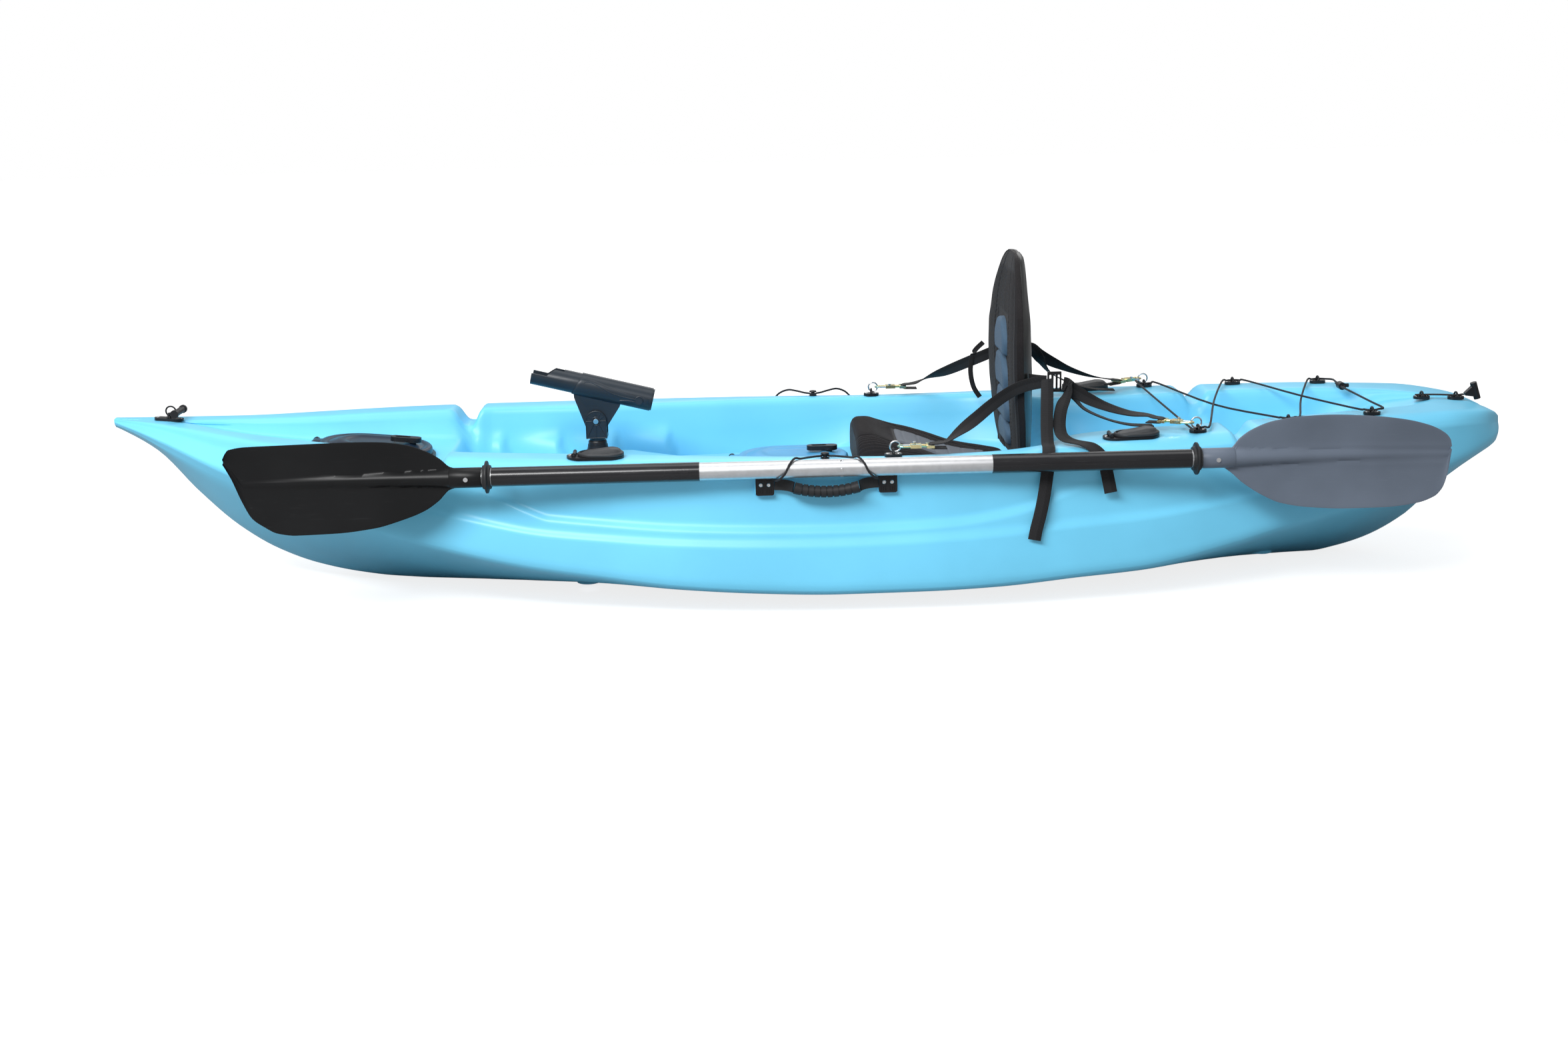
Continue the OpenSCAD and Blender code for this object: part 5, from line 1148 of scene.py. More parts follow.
@dataclass
class FlushHolders:
    """The four flush rod holders and their sprung caps."""

    length: float = 84.0
    width: float = 50.0

    def cap(self, node: str) -> bmesh.types.BMesh:
        """A cap with a rolled skirt and a dome that rises away from its hinge.

        Args:
            node: The cap's CAD node, whose place it takes.

        Returns:
            The mesh.
        """
        front = node.endswith("front")
        side = -1 if "port" in node else 1
        spot = (-0.395, side * 0.283527, 0.28642) if front else (0.587, side * 0.252246, 0.291346)
        pitch = math.radians(0.927 if front else -1.847)
        rows = [(4, 4.4), (0.6, 4.4), (0, 5.4), (0, 8.6), (0.8, 9.8), (2.2, 10.6), (3.4, 10.9), (4.4, 11.6),
                (6.5, 14), (9, 15.6), (12, 16.4), (16, 16.9), (21, 17.1)]
        rings = []
        for inset, z in rows:
            ring = []
            for x, y in stadium(self.length - 2 * inset, self.width - 2 * inset, 64):
                rise = 0.45 + 0.62 * min(1.0, max(0.0, (x + 34) / 46))
                pinch = 1 - 0.16 * max(0.0, -x / 42) ** 2
                ring.append([10 + x, y * pinch, 4.4 + (z - 4.4) * (rise if z > 10.9 else 1.0)])
            rings.append(ring)
        bm = SHOP.loft(np.array(rings) * MM)
        pin = Matrix.Translation((-0.038, 0, 0.008)) @ Matrix.Rotation(math.pi / 2, 4, "X")
        bmesh.ops.create_cone(bm, cap_ends=True, segments=24, radius1=0.0032, radius2=0.0032,
                              depth=0.024, matrix=pin)
        bmesh.ops.create_cone(bm, cap_ends=True, segments=24, radius1=0.0015, radius2=0.0015,
                              depth=0.034, matrix=pin)
        place = Matrix.Translation(spot) @ Matrix.Rotation(pitch, 4, "Y")
        bmesh.ops.transform(bm, matrix=place, verts=bm.verts)
        return bm

    def build(self) -> None:
        """Makes the flanges and the caps."""
        SHOP.refined("flush_holders", BLACK, 0.0007)
        for side in ("port", "starboard"):
            for end in ("front", "rear"):
                node = f"flush_cap_{side}_{end}"
                SHOP.piece(node + "_dome", self.cap(node), CAP_RUBBER, body_of(node), [node], 40)


@dataclass
class Seat:
    """The seat: padded seat, backrest with its shell, insert and lobes."""

    hinge: Vector = field(default_factory=lambda: Vector((0.412, 0, 0.208)))
    back_half: float = 200.0
    back_thick: float = 38.0
    rib_pitch: float = 7.0
    rib_height: float = 1.9

    def pad_top(self, u: Points, s: Points) -> Points:
        """Height of the seat pad's top, in millimetres."""
        under = self.pad_under(u)
        crown = Curve([(-8, 266), (-3, 274), (5, 278), (22, 278.5), (45, 273), (75, 264), (110, 255),
                       (150, 241), (195, 224), (235, 214), (270, 206), (295, 200), (308, 188)])(u)
        dish = lookup(u, [(22, 0), (75, 14), (150, 18), (235, 11), (295, 3), (308, 0)], 14)
        top = under + (crown - under) * (1 - 0.5 * np.abs(s) ** 6)
        seam = 3.4 * np.exp(-((np.abs(s) - 0.625) / 0.022) ** 2)
        return top - dish * np.maximum(0, 1 - (s / 0.8) ** 2) - seam

    def pad_under(self, u: Points) -> Points:
        """Height of the deck under the seat pad."""
        return lookup(97 + u, Hull().middle_profile(), 5) + 0.6

    def pad_half(self, u: Points) -> Points:
        """Half width of the seat pad."""
        return Curve([(-8, 138), (-3, 146), (22, 151), (110, 157), (195, 158), (270, 166), (308, 156)])(u)

    def seat_pad(self) -> bmesh.types.BMesh:
        """The seat pad with its waterfall front, drawn-in sides, sewn seams and fanned ribs."""
        u = np.concatenate([np.linspace(-8, 24, 24), np.linspace(26, 308, 130)])
        s = np.linspace(-1, 1, 281)
        ug, sg = np.meshgrid(u, s, indexing="ij")
        half = self.pad_half(ug)
        fan = sg * half * (1 + 0.18 * (ug / 308))
        ribs = np.abs(np.sin(np.pi * fan / self.rib_pitch)) ** 0.8
        keep = ((np.abs(sg) > 0.43) | (ug < 70) | (ug > 262)) * np.clip((1 - np.abs(sg)) / 0.03, 0, 1)
        top = self.pad_top(ug, sg) + self.rib_height * (ribs - 0.5) * keep
        side = half * sg * (1 - 0.03 * sg ** 4)
        upper = np.stack([97 + ug, side, top], axis=2)
        ends = np.linspace(1, -1, 19)
        ue, se = np.meshgrid(u, ends, indexing="ij")
        lower = np.stack([97 + ue, se * (self.pad_half(ue) - 9), self.pad_under(ue)], axis=2)
        swell = []
        for t in (0.25, 0.5, 0.75):
            edge = upper[:, -1:] * (1 - t) + lower[:, :1] * t
            edge[..., 1] += 3.0 * math.sin(math.pi * t)
            swell.append(edge)
        mirrored = [e * np.array([1, -1, 1]) for e in reversed(swell)]
        rings = np.concatenate([upper, *swell, lower, *mirrored], axis=1)
        nose = rings[:1].copy()
        middle = nose.mean(axis=1, keepdims=True)
        start = [middle + (nose - middle) * f + np.array([d, 0, 0]) for f, d in ((0.6, 5), (0.85, 2.2))]
        return SHOP.loft(np.concatenate([*start, rings]) * MM)

    def seat_insert(self) -> bmesh.types.BMesh:
        """The grey panel on the seat, as a low cushion with quilted rows."""
        u = np.linspace(76, 258, 92)
        s = np.linspace(-0.395, 0.395, 61)
        ug, sg = np.meshgrid(u, s, indexing="ij")
        edge = np.minimum(np.minimum((ug - 76) / 12, (258 - ug) / 12), (0.395 - np.abs(sg)) / 0.045)
        puff = 4.6 * np.sqrt(np.clip(1 - (1 - np.clip(edge, 0, 1)) ** 2, 0, 1))
        quilt = 1.5 * np.exp(-(((ug - 106) % 30 - 15) / 2.2) ** 2)
        base = self.pad_top(ug, sg)
        side = sg * self.pad_half(ug)
        upper = np.stack([97 + ug, side, base + 0.4 + puff - quilt * np.clip(edge, 0, 1)], axis=2)
        lower = np.stack([97 + ug, side, base + 0.3], axis=2)[:, ::-1]
        return SHOP.loft(np.concatenate([upper, lower], axis=1) * MM)

    BACK_ROWS = [(215, 0.7, 396, 0.32, 5), (224, 0.78, 395, 0.64, 6), (246, 0.88, 393, 0.74, 8),
                 (275, 0.94, 391, 0.82, 10), (310, 0.98, 389, 0.9, 12), (350, 1, 387, 0.95, 14),
                 (390, 1, 385, 1, 14), (425, 0.985, 384, 1, 13.5), (455, 0.965, 384, 0.97, 13),
                 (485, 0.905, 385, 0.92, 11), (515, 0.835, 386, 0.82, 9), (542, 0.73, 388, 0.71, 7),
                 (567, 0.61, 391, 0.6, 5), (588, 0.47, 394, 0.5, 4), (603, 0.34, 397, 0.37, 2),
                 (611, 0.18, 400, 0.16, 1)]

    def back_row(self, z: Points, column: int) -> Points:
        """A column of the backrest's rows at each height."""
        return Curve([(r[0], r[column]) for r in self.BACK_ROWS])(z)

    def back_face(self, z: Points, s: Points, rear: bool = False) -> Points:
        """How far aft the front or rear face of the backrest lies."""
        thick = self.back_thick * self.back_row(z, 3)
        base = self.back_row(z, 2) - self.back_row(z, 4) * s ** 2
        if rear:
            return base + thick * (1 - 0.35 * np.abs(s) ** 6)
        seam = 0.07 * thick * np.exp(-((np.abs(s) - 0.5) / 0.02) ** 2)
        return base + thick * 0.35 * np.abs(s) ** 6 + seam

    def backrest(self) -> bmesh.types.BMesh:
        """The backrest pad, with slanted ribs on its wings and a smooth rolled border."""
        z = np.concatenate([np.linspace(215, 600, 230), np.linspace(601.5, 611, 8)])
        s = np.linspace(-1, 1, 181)
        zg, sg = np.meshgrid(z, s, indexing="ij")
        y = sg * self.back_half * self.back_row(zg, 1)
        slant = math.radians(35)
        phase = (zg * math.cos(slant) + np.abs(y) * math.sin(slant)) / self.rib_pitch
        ribs = np.abs(np.sin(np.pi * phase)) ** 0.8
        keep = np.clip((0.9 - np.abs(sg)) / 0.05, 0, 1) * np.clip((585 - zg) / 12, 0, 1)
        well = np.exp(-np.clip((np.abs(sg) - 0.36) / 0.03, 0, 9) ** 2) * np.clip((500 - zg) / 10, 0, 1)
        front = self.back_face(zg, sg) - self.rib_height * (ribs - 0.5) * keep * (1 - well) + 1.5 * well
        roll = 5.0 * np.exp(-((np.abs(sg) - 0.955) / 0.03) ** 2)
        rear = self.back_face(zg, sg, rear=True)
        front = np.minimum(front - roll * 0.5, rear - 1.5)
        ahead = np.stack([front, y, zg], axis=2)
        behind = np.stack([rear, y, zg], axis=2)[:, ::-6]
        return SHOP.loft(np.concatenate([ahead, behind], axis=1) * MM)

    def shell(self) -> bmesh.types.BMesh:
        """The smooth black shell behind the pad, with a low ridge down each side."""
        z = np.linspace(222, 611, 90)
        s = np.linspace(-1, 1, 61)
        zg, sg = np.meshgrid(z, s, indexing="ij")
        y = sg * self.back_half * self.back_row(zg, 1)
        rear = self.back_face(zg, sg, rear=True)
        inner = np.stack([rear + 0.5, y, zg], axis=2)
        ridge = 1.6 * np.exp(-((np.abs(sg) - 0.55) / 0.05) ** 2)
        curl = 1 - np.abs(sg) ** 10 * 0.8
        outer = np.stack([rear + 0.5 + (4.2 + ridge) * curl, y * 1.004, zg], axis=2)[:, ::-1]
        return SHOP.loft(np.concatenate([inner, outer], axis=1) * MM)

    def lobes(self) -> bmesh.types.BMesh:
        """The four soft lobes down the front of the backrest."""
        bm = bmesh.new()
        for z0, z1 in ((240, 290), (286, 352), (348, 420), (416, 486)):
            t = np.linspace(0, 1, 44)
            v = np.linspace(-1, 1, 49)
            tg, vg = np.meshgrid(t, v, indexing="ij")
            zg = z0 + (z1 - z0) * tg
            round_top = np.sqrt(np.clip(1 - ((tg - 0.35) / 0.65).clip(0, 1) ** 2.6, 0.0, 1))
            waist = 0.84 + 0.16 * np.sin(np.pi * np.clip(tg / 0.75, 0, 1))
            width = 0.335 * np.maximum(waist * round_top, 0.05)
            sg = vg * width
            edge = np.minimum(np.minimum(tg / 0.16, (1 - tg) / 0.16), (1 - np.abs(vg)) / 0.3)
            puff = 10.5 * np.sqrt(np.clip(1 - (1 - np.clip(edge, 0, 1)) ** 2, 0, 1))
            back = self.back_face(zg, sg)
            y = sg * self.back_half * self.back_row(zg, 1)
            top = np.stack([back + 0.8 - puff, y, zg], axis=2)
            under = np.stack([back + 1.2, y, zg], axis=2)[:, ::-1]
            Hull().take(bm, SHOP.loft(np.concatenate([top, under], axis=1) * MM))
        return bm

    def build(self) -> None:
        """Makes the seat's pieces."""
        pad = SHOP.piece("seat_cushion", self.seat_pad(), SEAT_KNIT, "kayak", ["seat_pad"], 60)
        insert = SHOP.piece("seat_insert", self.seat_insert(), PANEL_KNIT, "kayak", ["seat_pad_panel"], 60)
        back = SHOP.piece("back_cushion", self.backrest(), SEAT_KNIT, "backrest", ["back_pad"], 60)
        SHOP.piece("back_shell_skin", self.shell(), SHELL_BLACK, "backrest", ["back_shell"], 50)
        lobes = SHOP.piece("back_lobes", self.lobes(), LOBE_FOAM, "backrest", ["back_panel"], 60)
        SHOP.refined("back_buckles", BLACK, 0.0012)


@dataclass
class Straps:
    """The seat's straps: to the hooks, across the back, and their loose tails. Routes in mm."""

    width: float = 0.023
    thick: float = 0.002
    eyes: tuple[tuple[float, float, float], tuple[float, float, float]] = (
        (145, 309, 279.6), (713, 241, 295.6))
    link: tuple[float, float] = (13.0, 18.1)

    def hook_web(self, rear: int) -> list[list[float]]:
        """The strap's loop through the frame of a hook, on the port side."""
        way, turn = (-1, math.radians(30)) if rear else (1, 0.0)
        x, y, z = self.eyes[rear]
        start = np.array([x + way * self.link[0], -y, z + self.link[1]])
        pull = np.array([way * math.cos(turn), math.sin(turn), 0])
        lie = [math.sin(turn), math.cos(turn), 0] if rear else [0, 1, 0]
        r = 2.5 + self.thick / MM / 2 + 0.5
        turns = [(82, 8), (66, r + 0.8), (56, r), (50.6, 2.7), (49.8, 0), (50.6, -2.7), (56, -r),
                 (66, -r - 0.3), (80, -r - 0.8)]
        return [[*(start + (3.5 + u) * pull + np.array([0, 0, h])), *lie] for u, h in turns]

    def routes(self) -> dict[str, list[list[float]]]:
        """The port side's routes: a place and the way the width lies."""
        front = [[436, -216, 392, 0, 0, 1], [420, -212, 390, 0, 0, 1], [395, -209, 384, 0, 0, 1],
                 [368, -212, 373, 0, 0.1, 1], [335, -232, 356, 0, 0.3, 0.9],
                 [300, -262, 336, 0, 0.6, 0.8], [268, -290, 319, 0, 0.9, 0.4]]
        rear = [[467.5, -211, 388, 0, 0, 1], [474, -211.4, 386, 0, 0, 1], [488, -213, 374, 0, 0.1, 1],
                [512, -214, 359, 0, 0.3, 0.9], [548, -212, 342, 0.1, 0.8, 0.6],
                [590, -206, 328, 0.3, 0.9, 0.2]]
        return {
            "front": front + self.hook_web(0), "rear": rear + self.hook_web(1),
            "back": [[408, -184, 391, 0, 0, 1], [424, -200, 391, 0, 0, 1], [437, -208, 391, 0, 0, 1]],
            "tail_long": [
                [436, -221, 398, 0.5, 0, 0.9], [434, -236, 364, 0.9, 0, 0.3], [430, -262, 322, 1, 0, 0],
                [427, -290, 294, 1, 0, 0], [425, -318, 290, 1, 0, 0], [421, -342, 277, 1, 0, 0],
                [418, -352, 255, 1, 0, 0.1], [412, -358, 215, 1, 0, 0.1], [404, -366, 180, 1, 0, 0.1],
                [396, -372, 152, 1, 0, 0.1], [392, -375, 133, 1, 0, 0.1]],
            "tail_short": [
                [470, -214.7, 386, 0, 0, 1], [476, -215.8, 383, 0, 0, 1], [474, -222, 370, 0.6, 0, 0.8],
                [460, -238, 345, 1, 0, 0.2], [454, -260, 313, 1, 0, 0], [462, -287, 298, 1, 0, 0],
                [500, -318, 291, 1, 0, 0], [520, -340, 271, 1, 0, 0.1], [526, -348, 245, 1, 0, 0.1],
                [532, -355, 212, 1, 0, 0.1]],
            "tail_rear": [
                [470, -207.6, 386, 0, 0, 1], [476, -207.2, 383, 0, 0, 1], [488, -204, 366, 0, 0.3, 0.9],
                [508, -199, 338, 0, 1, 0.2], [550, -194, 316, 0, 1, 0], [595, -191, 303, 0, 1, 0],
                [640, -190, 300, 0, 1, 0]],
            "tail_thin": [
                [372, -215, 402, 0, 0, 1], [352, -217, 380, 0.4, 0, 0.9], [346, -218, 345, 1, 0, 0.2],
                [352, -220, 310, 1, 0, 0], [366, -222, 286, 1, 0, -0.1]]}

    @staticmethod
    def flipped(route: list[list[float]]) -> list[list[float]]:
        """The same route on the starboard side."""
        return [[r[0], -r[1], r[2], r[3], -r[4], r[5]] for r in route]

    def build(self) -> None:
        """Makes the straps."""
        routes = self.routes()
        for side in ("port", "starboard"):
            way = (lambda r: r) if side == "port" else self.flipped
            front = SHOP.piece(f"front_strap_{side}", band(way(routes["front"]), self.width, self.thick),
                               STRAP_BLACK, None, ["front_straps"], 50)
            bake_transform(front)
            rear = SHOP.piece(f"rear_strap_{side}", band(way(routes["rear"]), self.width, self.thick),
                              STRAP_BLACK, None, ["rear_straps"], 50)
            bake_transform(rear)
            SHOP.piece(f"back_strap_{side}", band(way(routes["back"]), self.width, self.thick),
                       STRAP_BLACK, "backrest", (), 50)
            tail = SHOP.piece(f"rear_tail_{side}", band(way(routes["tail_rear"]), self.width, self.thick),
                              STRAP_BLACK, None, ["strap_tails"], 50)
            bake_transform(tail)
        for name in ("tail_long", "tail_short"):
            top, low = routes[name][0][:3], routes[name][3][:3]
            tail = SHOP.piece(f"port_{name}", band(routes[name], self.width, self.thick), STRAP_BLACK,
                              None, ["strap_tails"], 50)
            tuple(c * MM for c in low)
            tuple(c * MM for c in top)
            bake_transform(tail)
        thin = self.flipped(routes["tail_thin"])
        SHOP.piece("starboard_thin_tail", band(thin, 0.010, 0.0016), NARROW_WEB, "backrest",
                   ["strap_tails"], 50)


@dataclass
class DeckCords:
    """The bungee over the tank well, the paddle keepers and the stern strap. Routes in mm."""

    radius: float = 0.002
    eyes: tuple[tuple[float, float, float], ...] = (
        (145, 309.0, 279.6), (713, 241.0, 295.6), (890, 207.1, 302.26), (1057, 173.0, 306.6))
    rise: float = 7.45

    def eye_point(self, i: int, side: int, du: float, dv: float, dz: float) -> list[float]:
        """A point of the cord near an eye."""
        x, y, z = self.eyes[i]
        return [x + du, side * (y + dv), z + self.rise + dz]

    def through(self, i: int, side: int, way: int) -> list[list[float]]:
        """The cord's six points through one eye."""
        dv, dz = (-3.75, 0.0) if i == 1 else (0.0, 0.9)
        rows = [(26, -16, 1.5), (14, -6, 0.8 + dz / 2), (6, dv, dz), (-6, dv, dz),
                (-14, -6, 0.8 + dz / 2), (-26, -16, 1.5)]
        return [self.eye_point(i, side, way * u, v, z) for u, v, z in rows]

    def bungee(self) -> Points:
        """The lacing: one cord from the lock round six eyes and back to the lock."""
        lock = np.array([1074, 72, self.eyes[3][2] + self.rise + 4])
        gap = 2.7
        start = [lock + [gap, -20, 1], lock + [gap, -12, 0], lock + [gap, 12, 0],
                 [lock[0] + gap + 2, 120, lock[2] - 1]]
        first, last = self.through(1, 1, 1), self.through(1, -1, -1)
        finish = [[lock[0] + 4, -100, lock[2] - 1], lock + [-gap, -30, 0], lock + [-gap, -12, 0],
                  lock + [-gap, 12, 0], lock + [-gap - 1, 22, 1]]
        rows = [*start, *self.through(3, 1, 1), [973, 0, 306], *self.through(2, -1, 1), [801, 0, 300],
                *first[:5], *last[1:], [801, 0, 307], *self.through(2, 1, -1), [973, 0, 313],
                *self.through(3, -1, -1), *finish]
        return smooth_route([list(r) for r in rows], 4) * MM

    def keeper(self, port: bool) -> Points:
        """A keeper cord, from plate to plate round its button; the port one holds the shaft."""
        plates = frame["nodes"]["handle_plates"]
        low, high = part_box(plates.name)
        middle = (low.x + high.x) / 2 / MM
        far = (high.x / MM - middle) - 33
        button = (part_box("keeper_buttons")[1].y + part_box("keeper_buttons")[1].y) / 2 / MM - 8
        button_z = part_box("keeper_buttons")[0].z / MM
        face = high.y / MM
        handle_y, handle_z = face - 5, 245.0
        if port:
            def over(angle: float, x: float) -> list[float]:
                """A point round the shaft."""
                turn = math.radians(angle)
                return [x, -378 - 20 * math.cos(turn), 276 + 20 * math.sin(turn)]
            half = [[far + 2, -face - 2.6, handle_z + 15.5], over(-90, 91), over(-50, 84),
                    over(-12, 74), over(35, 66), over(82, 56), over(128, 46),
                    [34, -handle_y + 18, button_z + 7], [18, -button - 8, button_z + 5.2],
                    [8, -button - 2, button_z + 4.6], [5.6, -button + 4.4, button_z + 4.6]]
            end = [0, -button + 7, button_z + 4.4]
        else:
            half = [[far + 2, face + 2.6, handle_z + 15.5], [84, handle_y + 5, handle_z + 22],
                    [70, handle_y - 1, handle_z + 36], [52, handle_y - 16, button_z + 9],
                    [34, button + 16, button_z + 8], [18, button + 8, button_z + 5.2],
                    [8, button + 2, button_z + 4.6], [5.6, button - 4.4, button_z + 4.6]]
            end = [0, button - 7, button_z + 4.4]
        rows = ([[middle - p[0], p[1], p[2]] for p in half] + [[middle, end[1], end[2]]]
                + [[middle + p[0], p[1], p[2]] for p in reversed(half)])
        return smooth_route(rows, 5) * MM

    def stern_strap(self) -> bmesh.types.BMesh:
        """The strap between the stern eyes and the toggle."""
        front, back = 300.95, 298.7
        rows = [[1200, 0, front + 7.8, 0, 1, 0], [1212, 0, front + 8, 0, 1, 0],
                [1246, 0, back + 9.4, 0, 1, 0], [1280, 0, back + 7.6, 0, 1, 0],
                [1295, 0, back + 9, 0, 1, 0]]
        return band(rows, 0.009, 0.0022)

    def build(self) -> None:
        """Makes the cords."""
        SHOP.piece("deck_lacing", tube(self.bungee(), self.radius), CORD_BLACK, "kayak", ["deck_bungee"], 60)
        port = SHOP.piece("keeper_cord_port", tube(self.keeper(True), self.radius), CORD_BLACK, None,
                          ["port_keeper"], 60)
        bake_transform(port)
        SHOP.piece("keeper_cord_starboard", tube(self.keeper(False), self.radius), CORD_BLACK, "kayak",
                   ["starboard_keeper"], 60)
        SHOP.piece("stern_strap", self.stern_strap(), NARROW_WEB, "kayak", ["stern_toggle_strap"], 50)


class BladeEnd(Enum):
    """Which end of the paddle a blade is on."""

    BOW = "bow"
    STERN = "stern"


@dataclass
class Blade:
    """A paddle blade with its spine, drawn from the outline of its two edges."""

    end: BladeEnd
    axis_y: float = -378.0
    axis_z: float = 276.0
    edge: float = 3.0

    def outline(self) -> tuple[Curve, Curve]:
        """The upper and lower edge along the paddle."""
        if self.end is BladeEnd.BOW:
            return (Curve([(-1036, 48), (-1030, 59), (-1024, 65), (-995, 69), (-915, 70), (-819, 71),
                           (-771, 70), (-723, 64), (-686, 51), (-661, 36), (-643, 20), (-620, 15)]),
                    Curve([(-1036, 39), (-1023, 11), (-1010, -26), (-994, -60), (-976, -75),
                           (-952, -89), (-920, -94), (-852, -93), (-783, -86), (-733, -73),
                           (-693, -58), (-666, -40), (-646, -21), (-620, -15)]))
        return (Curve([(700, 15), (737, 16), (755, 36), (776, 51), (811, 65), (860, 73), (913, 75),
                       (980, 72), (1039, 65), (1084, 54), (1112, 40), (1124, 26), (1126, 15)]),
                Curve([(700, -15), (720, -15), (738, -25), (762, -46), (799, -70), (831, -84),
                       (877, -92), (944, -96), (1012, -95), (1070, -88), (1101, -76), (1114, -61),
                       (1121, -38), (1124, -15), (1126, 9)]))

    def mesh(self) -> bmesh.types.BMesh:
        """The blade: a dished face, a double-sided spine and a rounded edge."""
        upper, lower = self.outline()
        if self.end is BladeEnd.BOW:
            root, tip = -640.0, -1036.0
            x = np.concatenate([np.linspace(-1036, -1010, 14), np.linspace(-1006, -620, 96)])
        else:
            root, tip = 740.0, 1126.0
            x = np.concatenate([np.linspace(705, 1096, 98), np.linspace(1100, 1126, 14)])
        t = np.clip((x - root) / (tip - root), 0, 1)[:, None]
        top, low = upper(x)[:, None], lower(x)[:, None]
        middle = np.maximum(np.minimum(0, top - 0.2 * (top - low)), low + 0.35 * (top - low))
        shares = np.sin(np.linspace(-math.pi / 2, math.pi / 2, 61))[None, :]
        z = np.where(shares < 0, middle + shares * (middle - low), middle + shares * (top - middle))
        dish = -14 * t ** 2 - 7 * np.minimum(1, 3 * t) * shares ** 2
        half = self.edge / 2 * np.sqrt(np.clip(1 - shares ** 12, 0.02, 1))
        rise = 14 * (1 - t) ** 1.6 + 1.2
        wide = 17 - 12 * t ** 0.8
        spine = rise * np.clip(1 - (np.abs(z - middle) / wide) ** 2, 0, 1) ** 0.75
        if self.end is BladeEnd.STERN:
            crease = 2.2 * t * (1 - t) ** 0.5
            spine = spine + crease * (np.exp(-((z - middle - 16) / 5) ** 2)
                                      + np.exp(-((z - middle + 16) / 5) ** 2))
        station = np.repeat(x[:, None], shares.shape[1], 1)
        near = np.stack([station, self.axis_y + dish - half - spine, self.axis_z + z], axis=2)
        far = np.stack([station, self.axis_y + dish + half + spine, self.axis_z + z], axis=2)
        bm = SHOP.loft(np.concatenate([near, far[:, -2:0:-1]], axis=1) * MM)
        neck = (-645.0, -588.0) if self.end is BladeEnd.BOW else (687.0, 745.0)
        turn = np.linspace(0, 2 * math.pi, 49)[:-1]
        ends = [(neck[0], 17.0), (neck[0] + 1.2, 18.0), (neck[1] - 1.2, 18.0), (neck[1], 17.0)]
        rings = [[[x0, self.axis_y + r * math.cos(a), self.axis_z + r * math.sin(a)] for a in turn]
                 for x0, r in ends]
        Hull().take(bm, SHOP.loft(np.array(rings) * MM))
        return bm


@dataclass
class Paddle:
    """The two-part paddle that is stowed on the port side."""

    def build(self) -> None:
        """Makes the blades, and finishes the shaft's parts."""
        # The stern blade's grey is a painted sky reflection on the same dark plastic as the bow blade.
        for end, finish in ((BladeEnd.BOW, BLADE_BLACK), (BladeEnd.STERN, BLADE_GREY_SKY_REFLECTION)):
            node = f"paddle_{end.value}_blade"
            SHOP.piece(f"{end.value}_blade_moulding", Blade(end).mesh(), finish, body_of(node), [node], 40)
            SHOP.refined(f"paddle_{end.value}_shaft", SHAFT_SILVER, 0.0002)
            SHOP.refined(f"paddle_{end.value}_sleeve", SHAFT_BLACK, 0.0003)
            SHOP.refined(f"{end.value}_drip_ring", BOOT_RUBBER, 0.0008)
        SHOP.refined("paddle_button", STEEL, 0.0003)
        SHOP.refined("paddle_ferrule", SHAFT_SILVER, 0.0002)


@dataclass
class Fittings:
    """Everything else that is screwed, clipped or pushed onto the hull."""

    black: tuple[tuple[str, float], ...] = (
        ("handle_plates", 0.0007), ("pad_eyes", 0.0006), ("cord_lock", 0.0008), ("bow_toggle", 0.0008),
        ("stern_toggle", 0.0012), ("keeper_buttons", 0.0006), ("drain_plug", 0.0008))
    steel: tuple[tuple[str, float], ...] = (
        ("hatch_hinge_pins", 0.0003), ("deck_screws", 0.0002), ("handle_screws", 0.0002),
        ("seat_links", 0.0), ("snap_bolt_port_front", 0.0003), ("snap_bolt_port_rear", 0.0003),
        ("snap_bolt_starboard_front", 0.0003), ("snap_bolt_starboard_rear", 0.0003))

    def build(self) -> None:
        """Finishes each fitting."""
        for node, bevel in self.black:
            SHOP.refined(node, BLACK, bevel)
        for node, bevel in self.steel:
            SHOP.refined(node, STEEL, bevel)
        SHOP.refined("snap_hooks", YELLOW_ZINC, 0.0013)
        SHOP.refined("hatch_gaskets", BOOT_RUBBER, 0.0005)
        for side in ("port", "starboard"):
            SHOP.refined(f"{side}_handle_grip", BOOT_RUBBER, 0.0009)
            SHOP.refined(f"{side}_handle_webbing", BOOT_RUBBER, 0.0006)


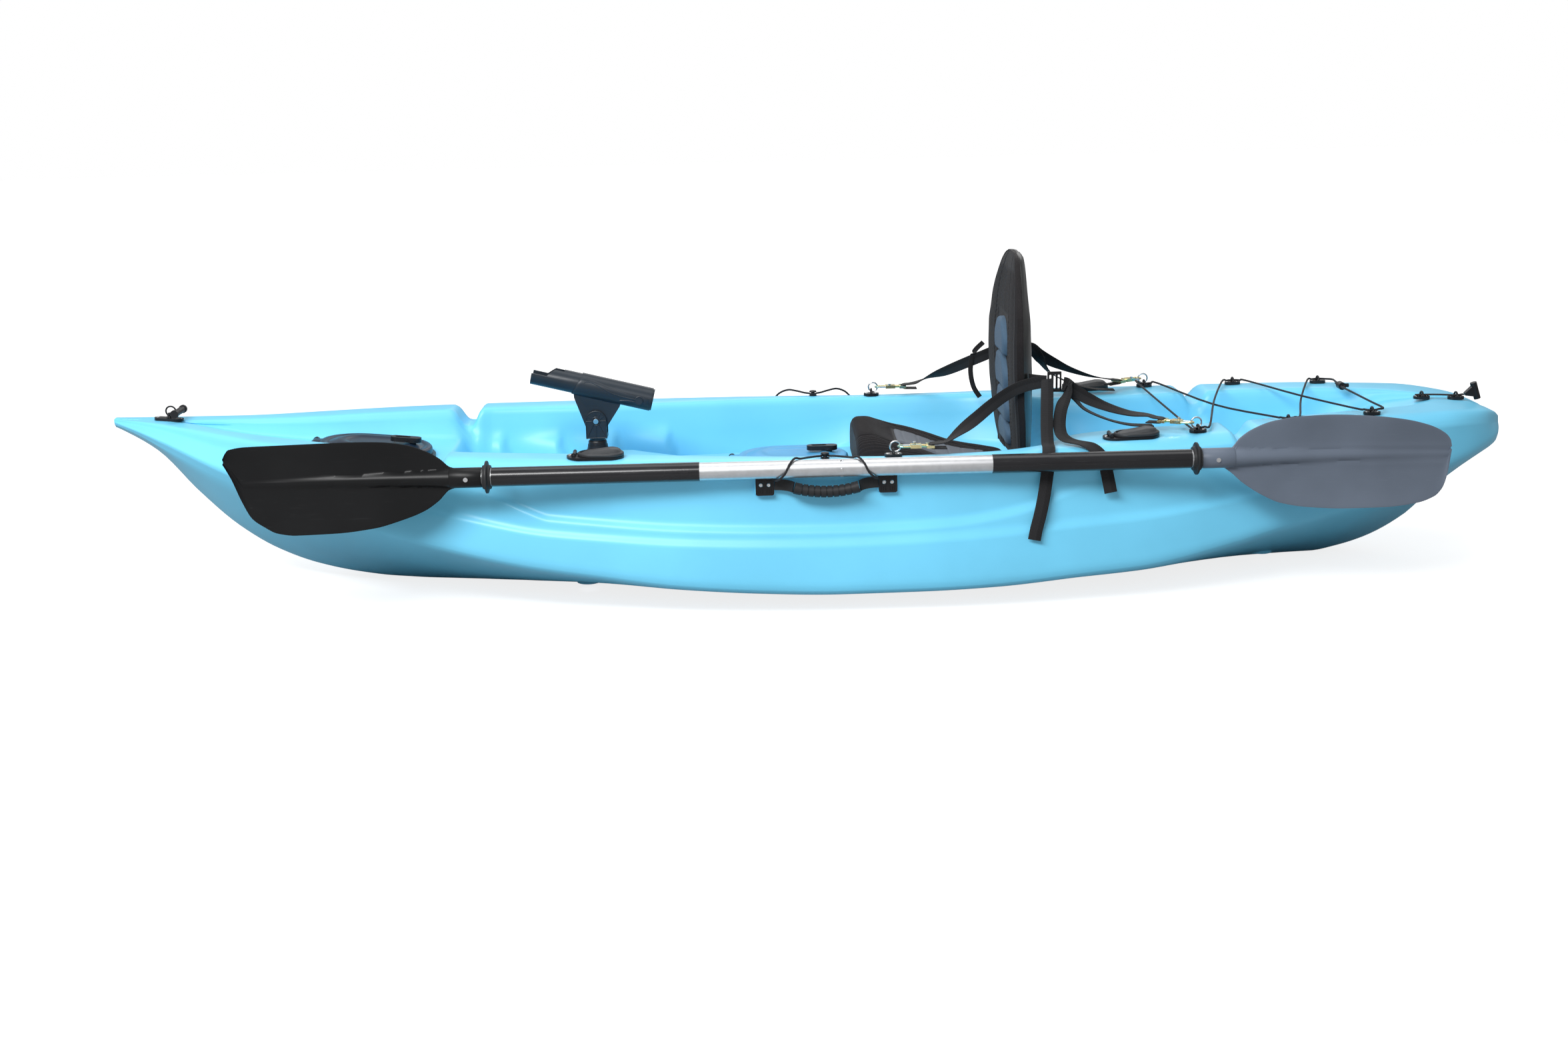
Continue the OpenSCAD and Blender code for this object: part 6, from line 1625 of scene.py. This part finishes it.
@dataclass
class Studio:
    """The floor, the lights and the camera."""

    focal_px: float = 2798.0
    photo_width_px: float = 2352.0
    sensor: float = 36.0
    eye: tuple[float, float, float] = (-0.101, -3.604, 0.994)
    yaw: float = 0.79
    pitch: float = 14.18
    roll: float = -1.34

    def camera(self) -> None:
        """The camera, at the photograph's place."""
        data = bpy.data.cameras.new("view")
        data.sensor_width = self.sensor
        data.lens = self.focal_px / self.photo_width_px * self.sensor
        data.clip_end = 60
        yaw, pitch, roll = (math.radians(a) for a in (self.yaw, self.pitch, self.roll))
        ahead = Vector((math.sin(yaw) * math.cos(pitch), math.cos(yaw) * math.cos(pitch), -math.sin(pitch)))
        right = Vector((math.cos(yaw), -math.sin(yaw), 0))
        up = right.cross(ahead)
        turned = right * math.cos(roll) + up * math.sin(roll)
        over = up * math.cos(roll) - right * math.sin(roll)
        camera = bpy.data.objects.new("view", data)
        bpy.context.scene.collection.objects.link(camera)
        turn = Matrix((turned, over, -ahead)).transposed().to_4x4()
        camera.matrix_world = Matrix.Translation(self.eye) @ turn
        bpy.context.scene.camera = camera

    def area(self, name: str, place: Vector, aim: Vector, size: tuple[float, float], power: float) -> None:
        """One soft light.

        Args:
            name: Its name.
            place: Where it stands.
            aim: What it points at.
            size: Its width and height.
            power: Its power, in watts.
        """
        data = bpy.data.lights.new(name, "AREA")
        data.shape = "RECTANGLE"
        data.size, data.size_y = size
        data.energy = power
        lamp = bpy.data.objects.new(name, data)
        bpy.context.scene.collection.objects.link(lamp)
        lamp.location = place
        lamp.rotation_euler = (aim - place).to_track_quat("-Z", "Y").to_euler()

    def floor(self) -> None:
        """The plain pale floor."""
        bm = bmesh.new()
        bmesh.ops.create_grid(bm, x_segments=1, y_segments=1, size=14,
                              matrix=Matrix.Translation((0, 0, -0.0005)))
        mesh = bpy.data.meshes.new("floor")
        bm.to_mesh(mesh)
        bm.free()
        floor = bpy.data.objects.new("floor", mesh)
        bpy.context.scene.collection.objects.link(floor)
        shader = Shader("floor_paper")
        glow = shader.node("ShaderNodeEmission", None, {"Color": (1, 1, 1), "Strength": 1.62})
        path = shader.tree.nodes.new("ShaderNodeLightPath")
        seen = Socket(shader, path.outputs["Is Camera Ray"])
        shader.dress(shader.blend(seen, (0.38, 0.38, 0.38), (0.95, 0.95, 0.95)), 0.9,
                     specular_ior_level=0.0)
        mixed = shader.node("ShaderNodeMixShader", None, {0: seen * 0.5})
        inputs = mixed.socket.node.inputs
        shader.tree.links.new(shader.surface.outputs[0], inputs[1])
        shader.tree.links.new(glow.socket, inputs[2])
        shader.tree.links.new(mixed.socket, shader.output.inputs[0])
        mesh.materials.append(shader.material)

    def world(self) -> None:
        """A white world at a plain level."""
        world = bpy.data.worlds.new("studio")
        world.use_nodes = True
        tree = world.node_tree
        back = tree.nodes["Background"]
        back.inputs["Color"].default_value = (1, 1, 1, 1)
        back.inputs["Strength"].default_value = 0.42
        white = tree.nodes.new("ShaderNodeBackground")
        white.inputs["Strength"].default_value = 1.0
        white.inputs["Color"].default_value = (1, 1, 1, 1)
        path = tree.nodes.new("ShaderNodeLightPath")
        mix = tree.nodes.new("ShaderNodeMixShader")
        tree.links.new(path.outputs["Is Camera Ray"], mix.inputs[0])
        tree.links.new(back.outputs[0], mix.inputs[1])
        tree.links.new(white.outputs[0], mix.inputs[2])
        tree.links.new(mix.outputs[0], tree.nodes["World Output"].inputs[0])
        bpy.context.scene.world = world

    def build(self) -> None:
        """Sets the stage."""
        scene = bpy.context.scene
        scene.view_settings.view_transform = "Standard"
        self.camera()
        self.floor()
        self.world()
        self.area("key", Vector((-1.5, -2.6, 2.5)), Vector((0, 0, 0.2)), (2.6, 0.8), 128)
        self.area("top", Vector((0.1, 0.2, 3.2)), Vector((0, 0, 0.2)), (3.4, 1.6), 32)
        self.area("back", Vector((0.6, 3.0, 2.0)), Vector((0, 0, 0.25)), (3.0, 1.2), 16)


def main() -> None:
    """Builds the kayak piece by piece around the frame."""
    logging.basicConfig(level=logging.INFO, format="%(name)s %(message)s")
    Studio().build()
    Hull().build()
    Hatch("front", Vector((-0.850, 0, 0.247)), math.atan(0.1)).build()
    Hatch("mid", Vector((-0.031, 0, 0.203)), 0.0).build()
    RodHolder().build()
    FlushHolders().build()
    Seat().build()
    Straps().build()
    DeckCords().build()
    Paddle().build()
    Fittings().build()
    bpy.context.view_layer.update()


if __name__ == "__main__":
    main()
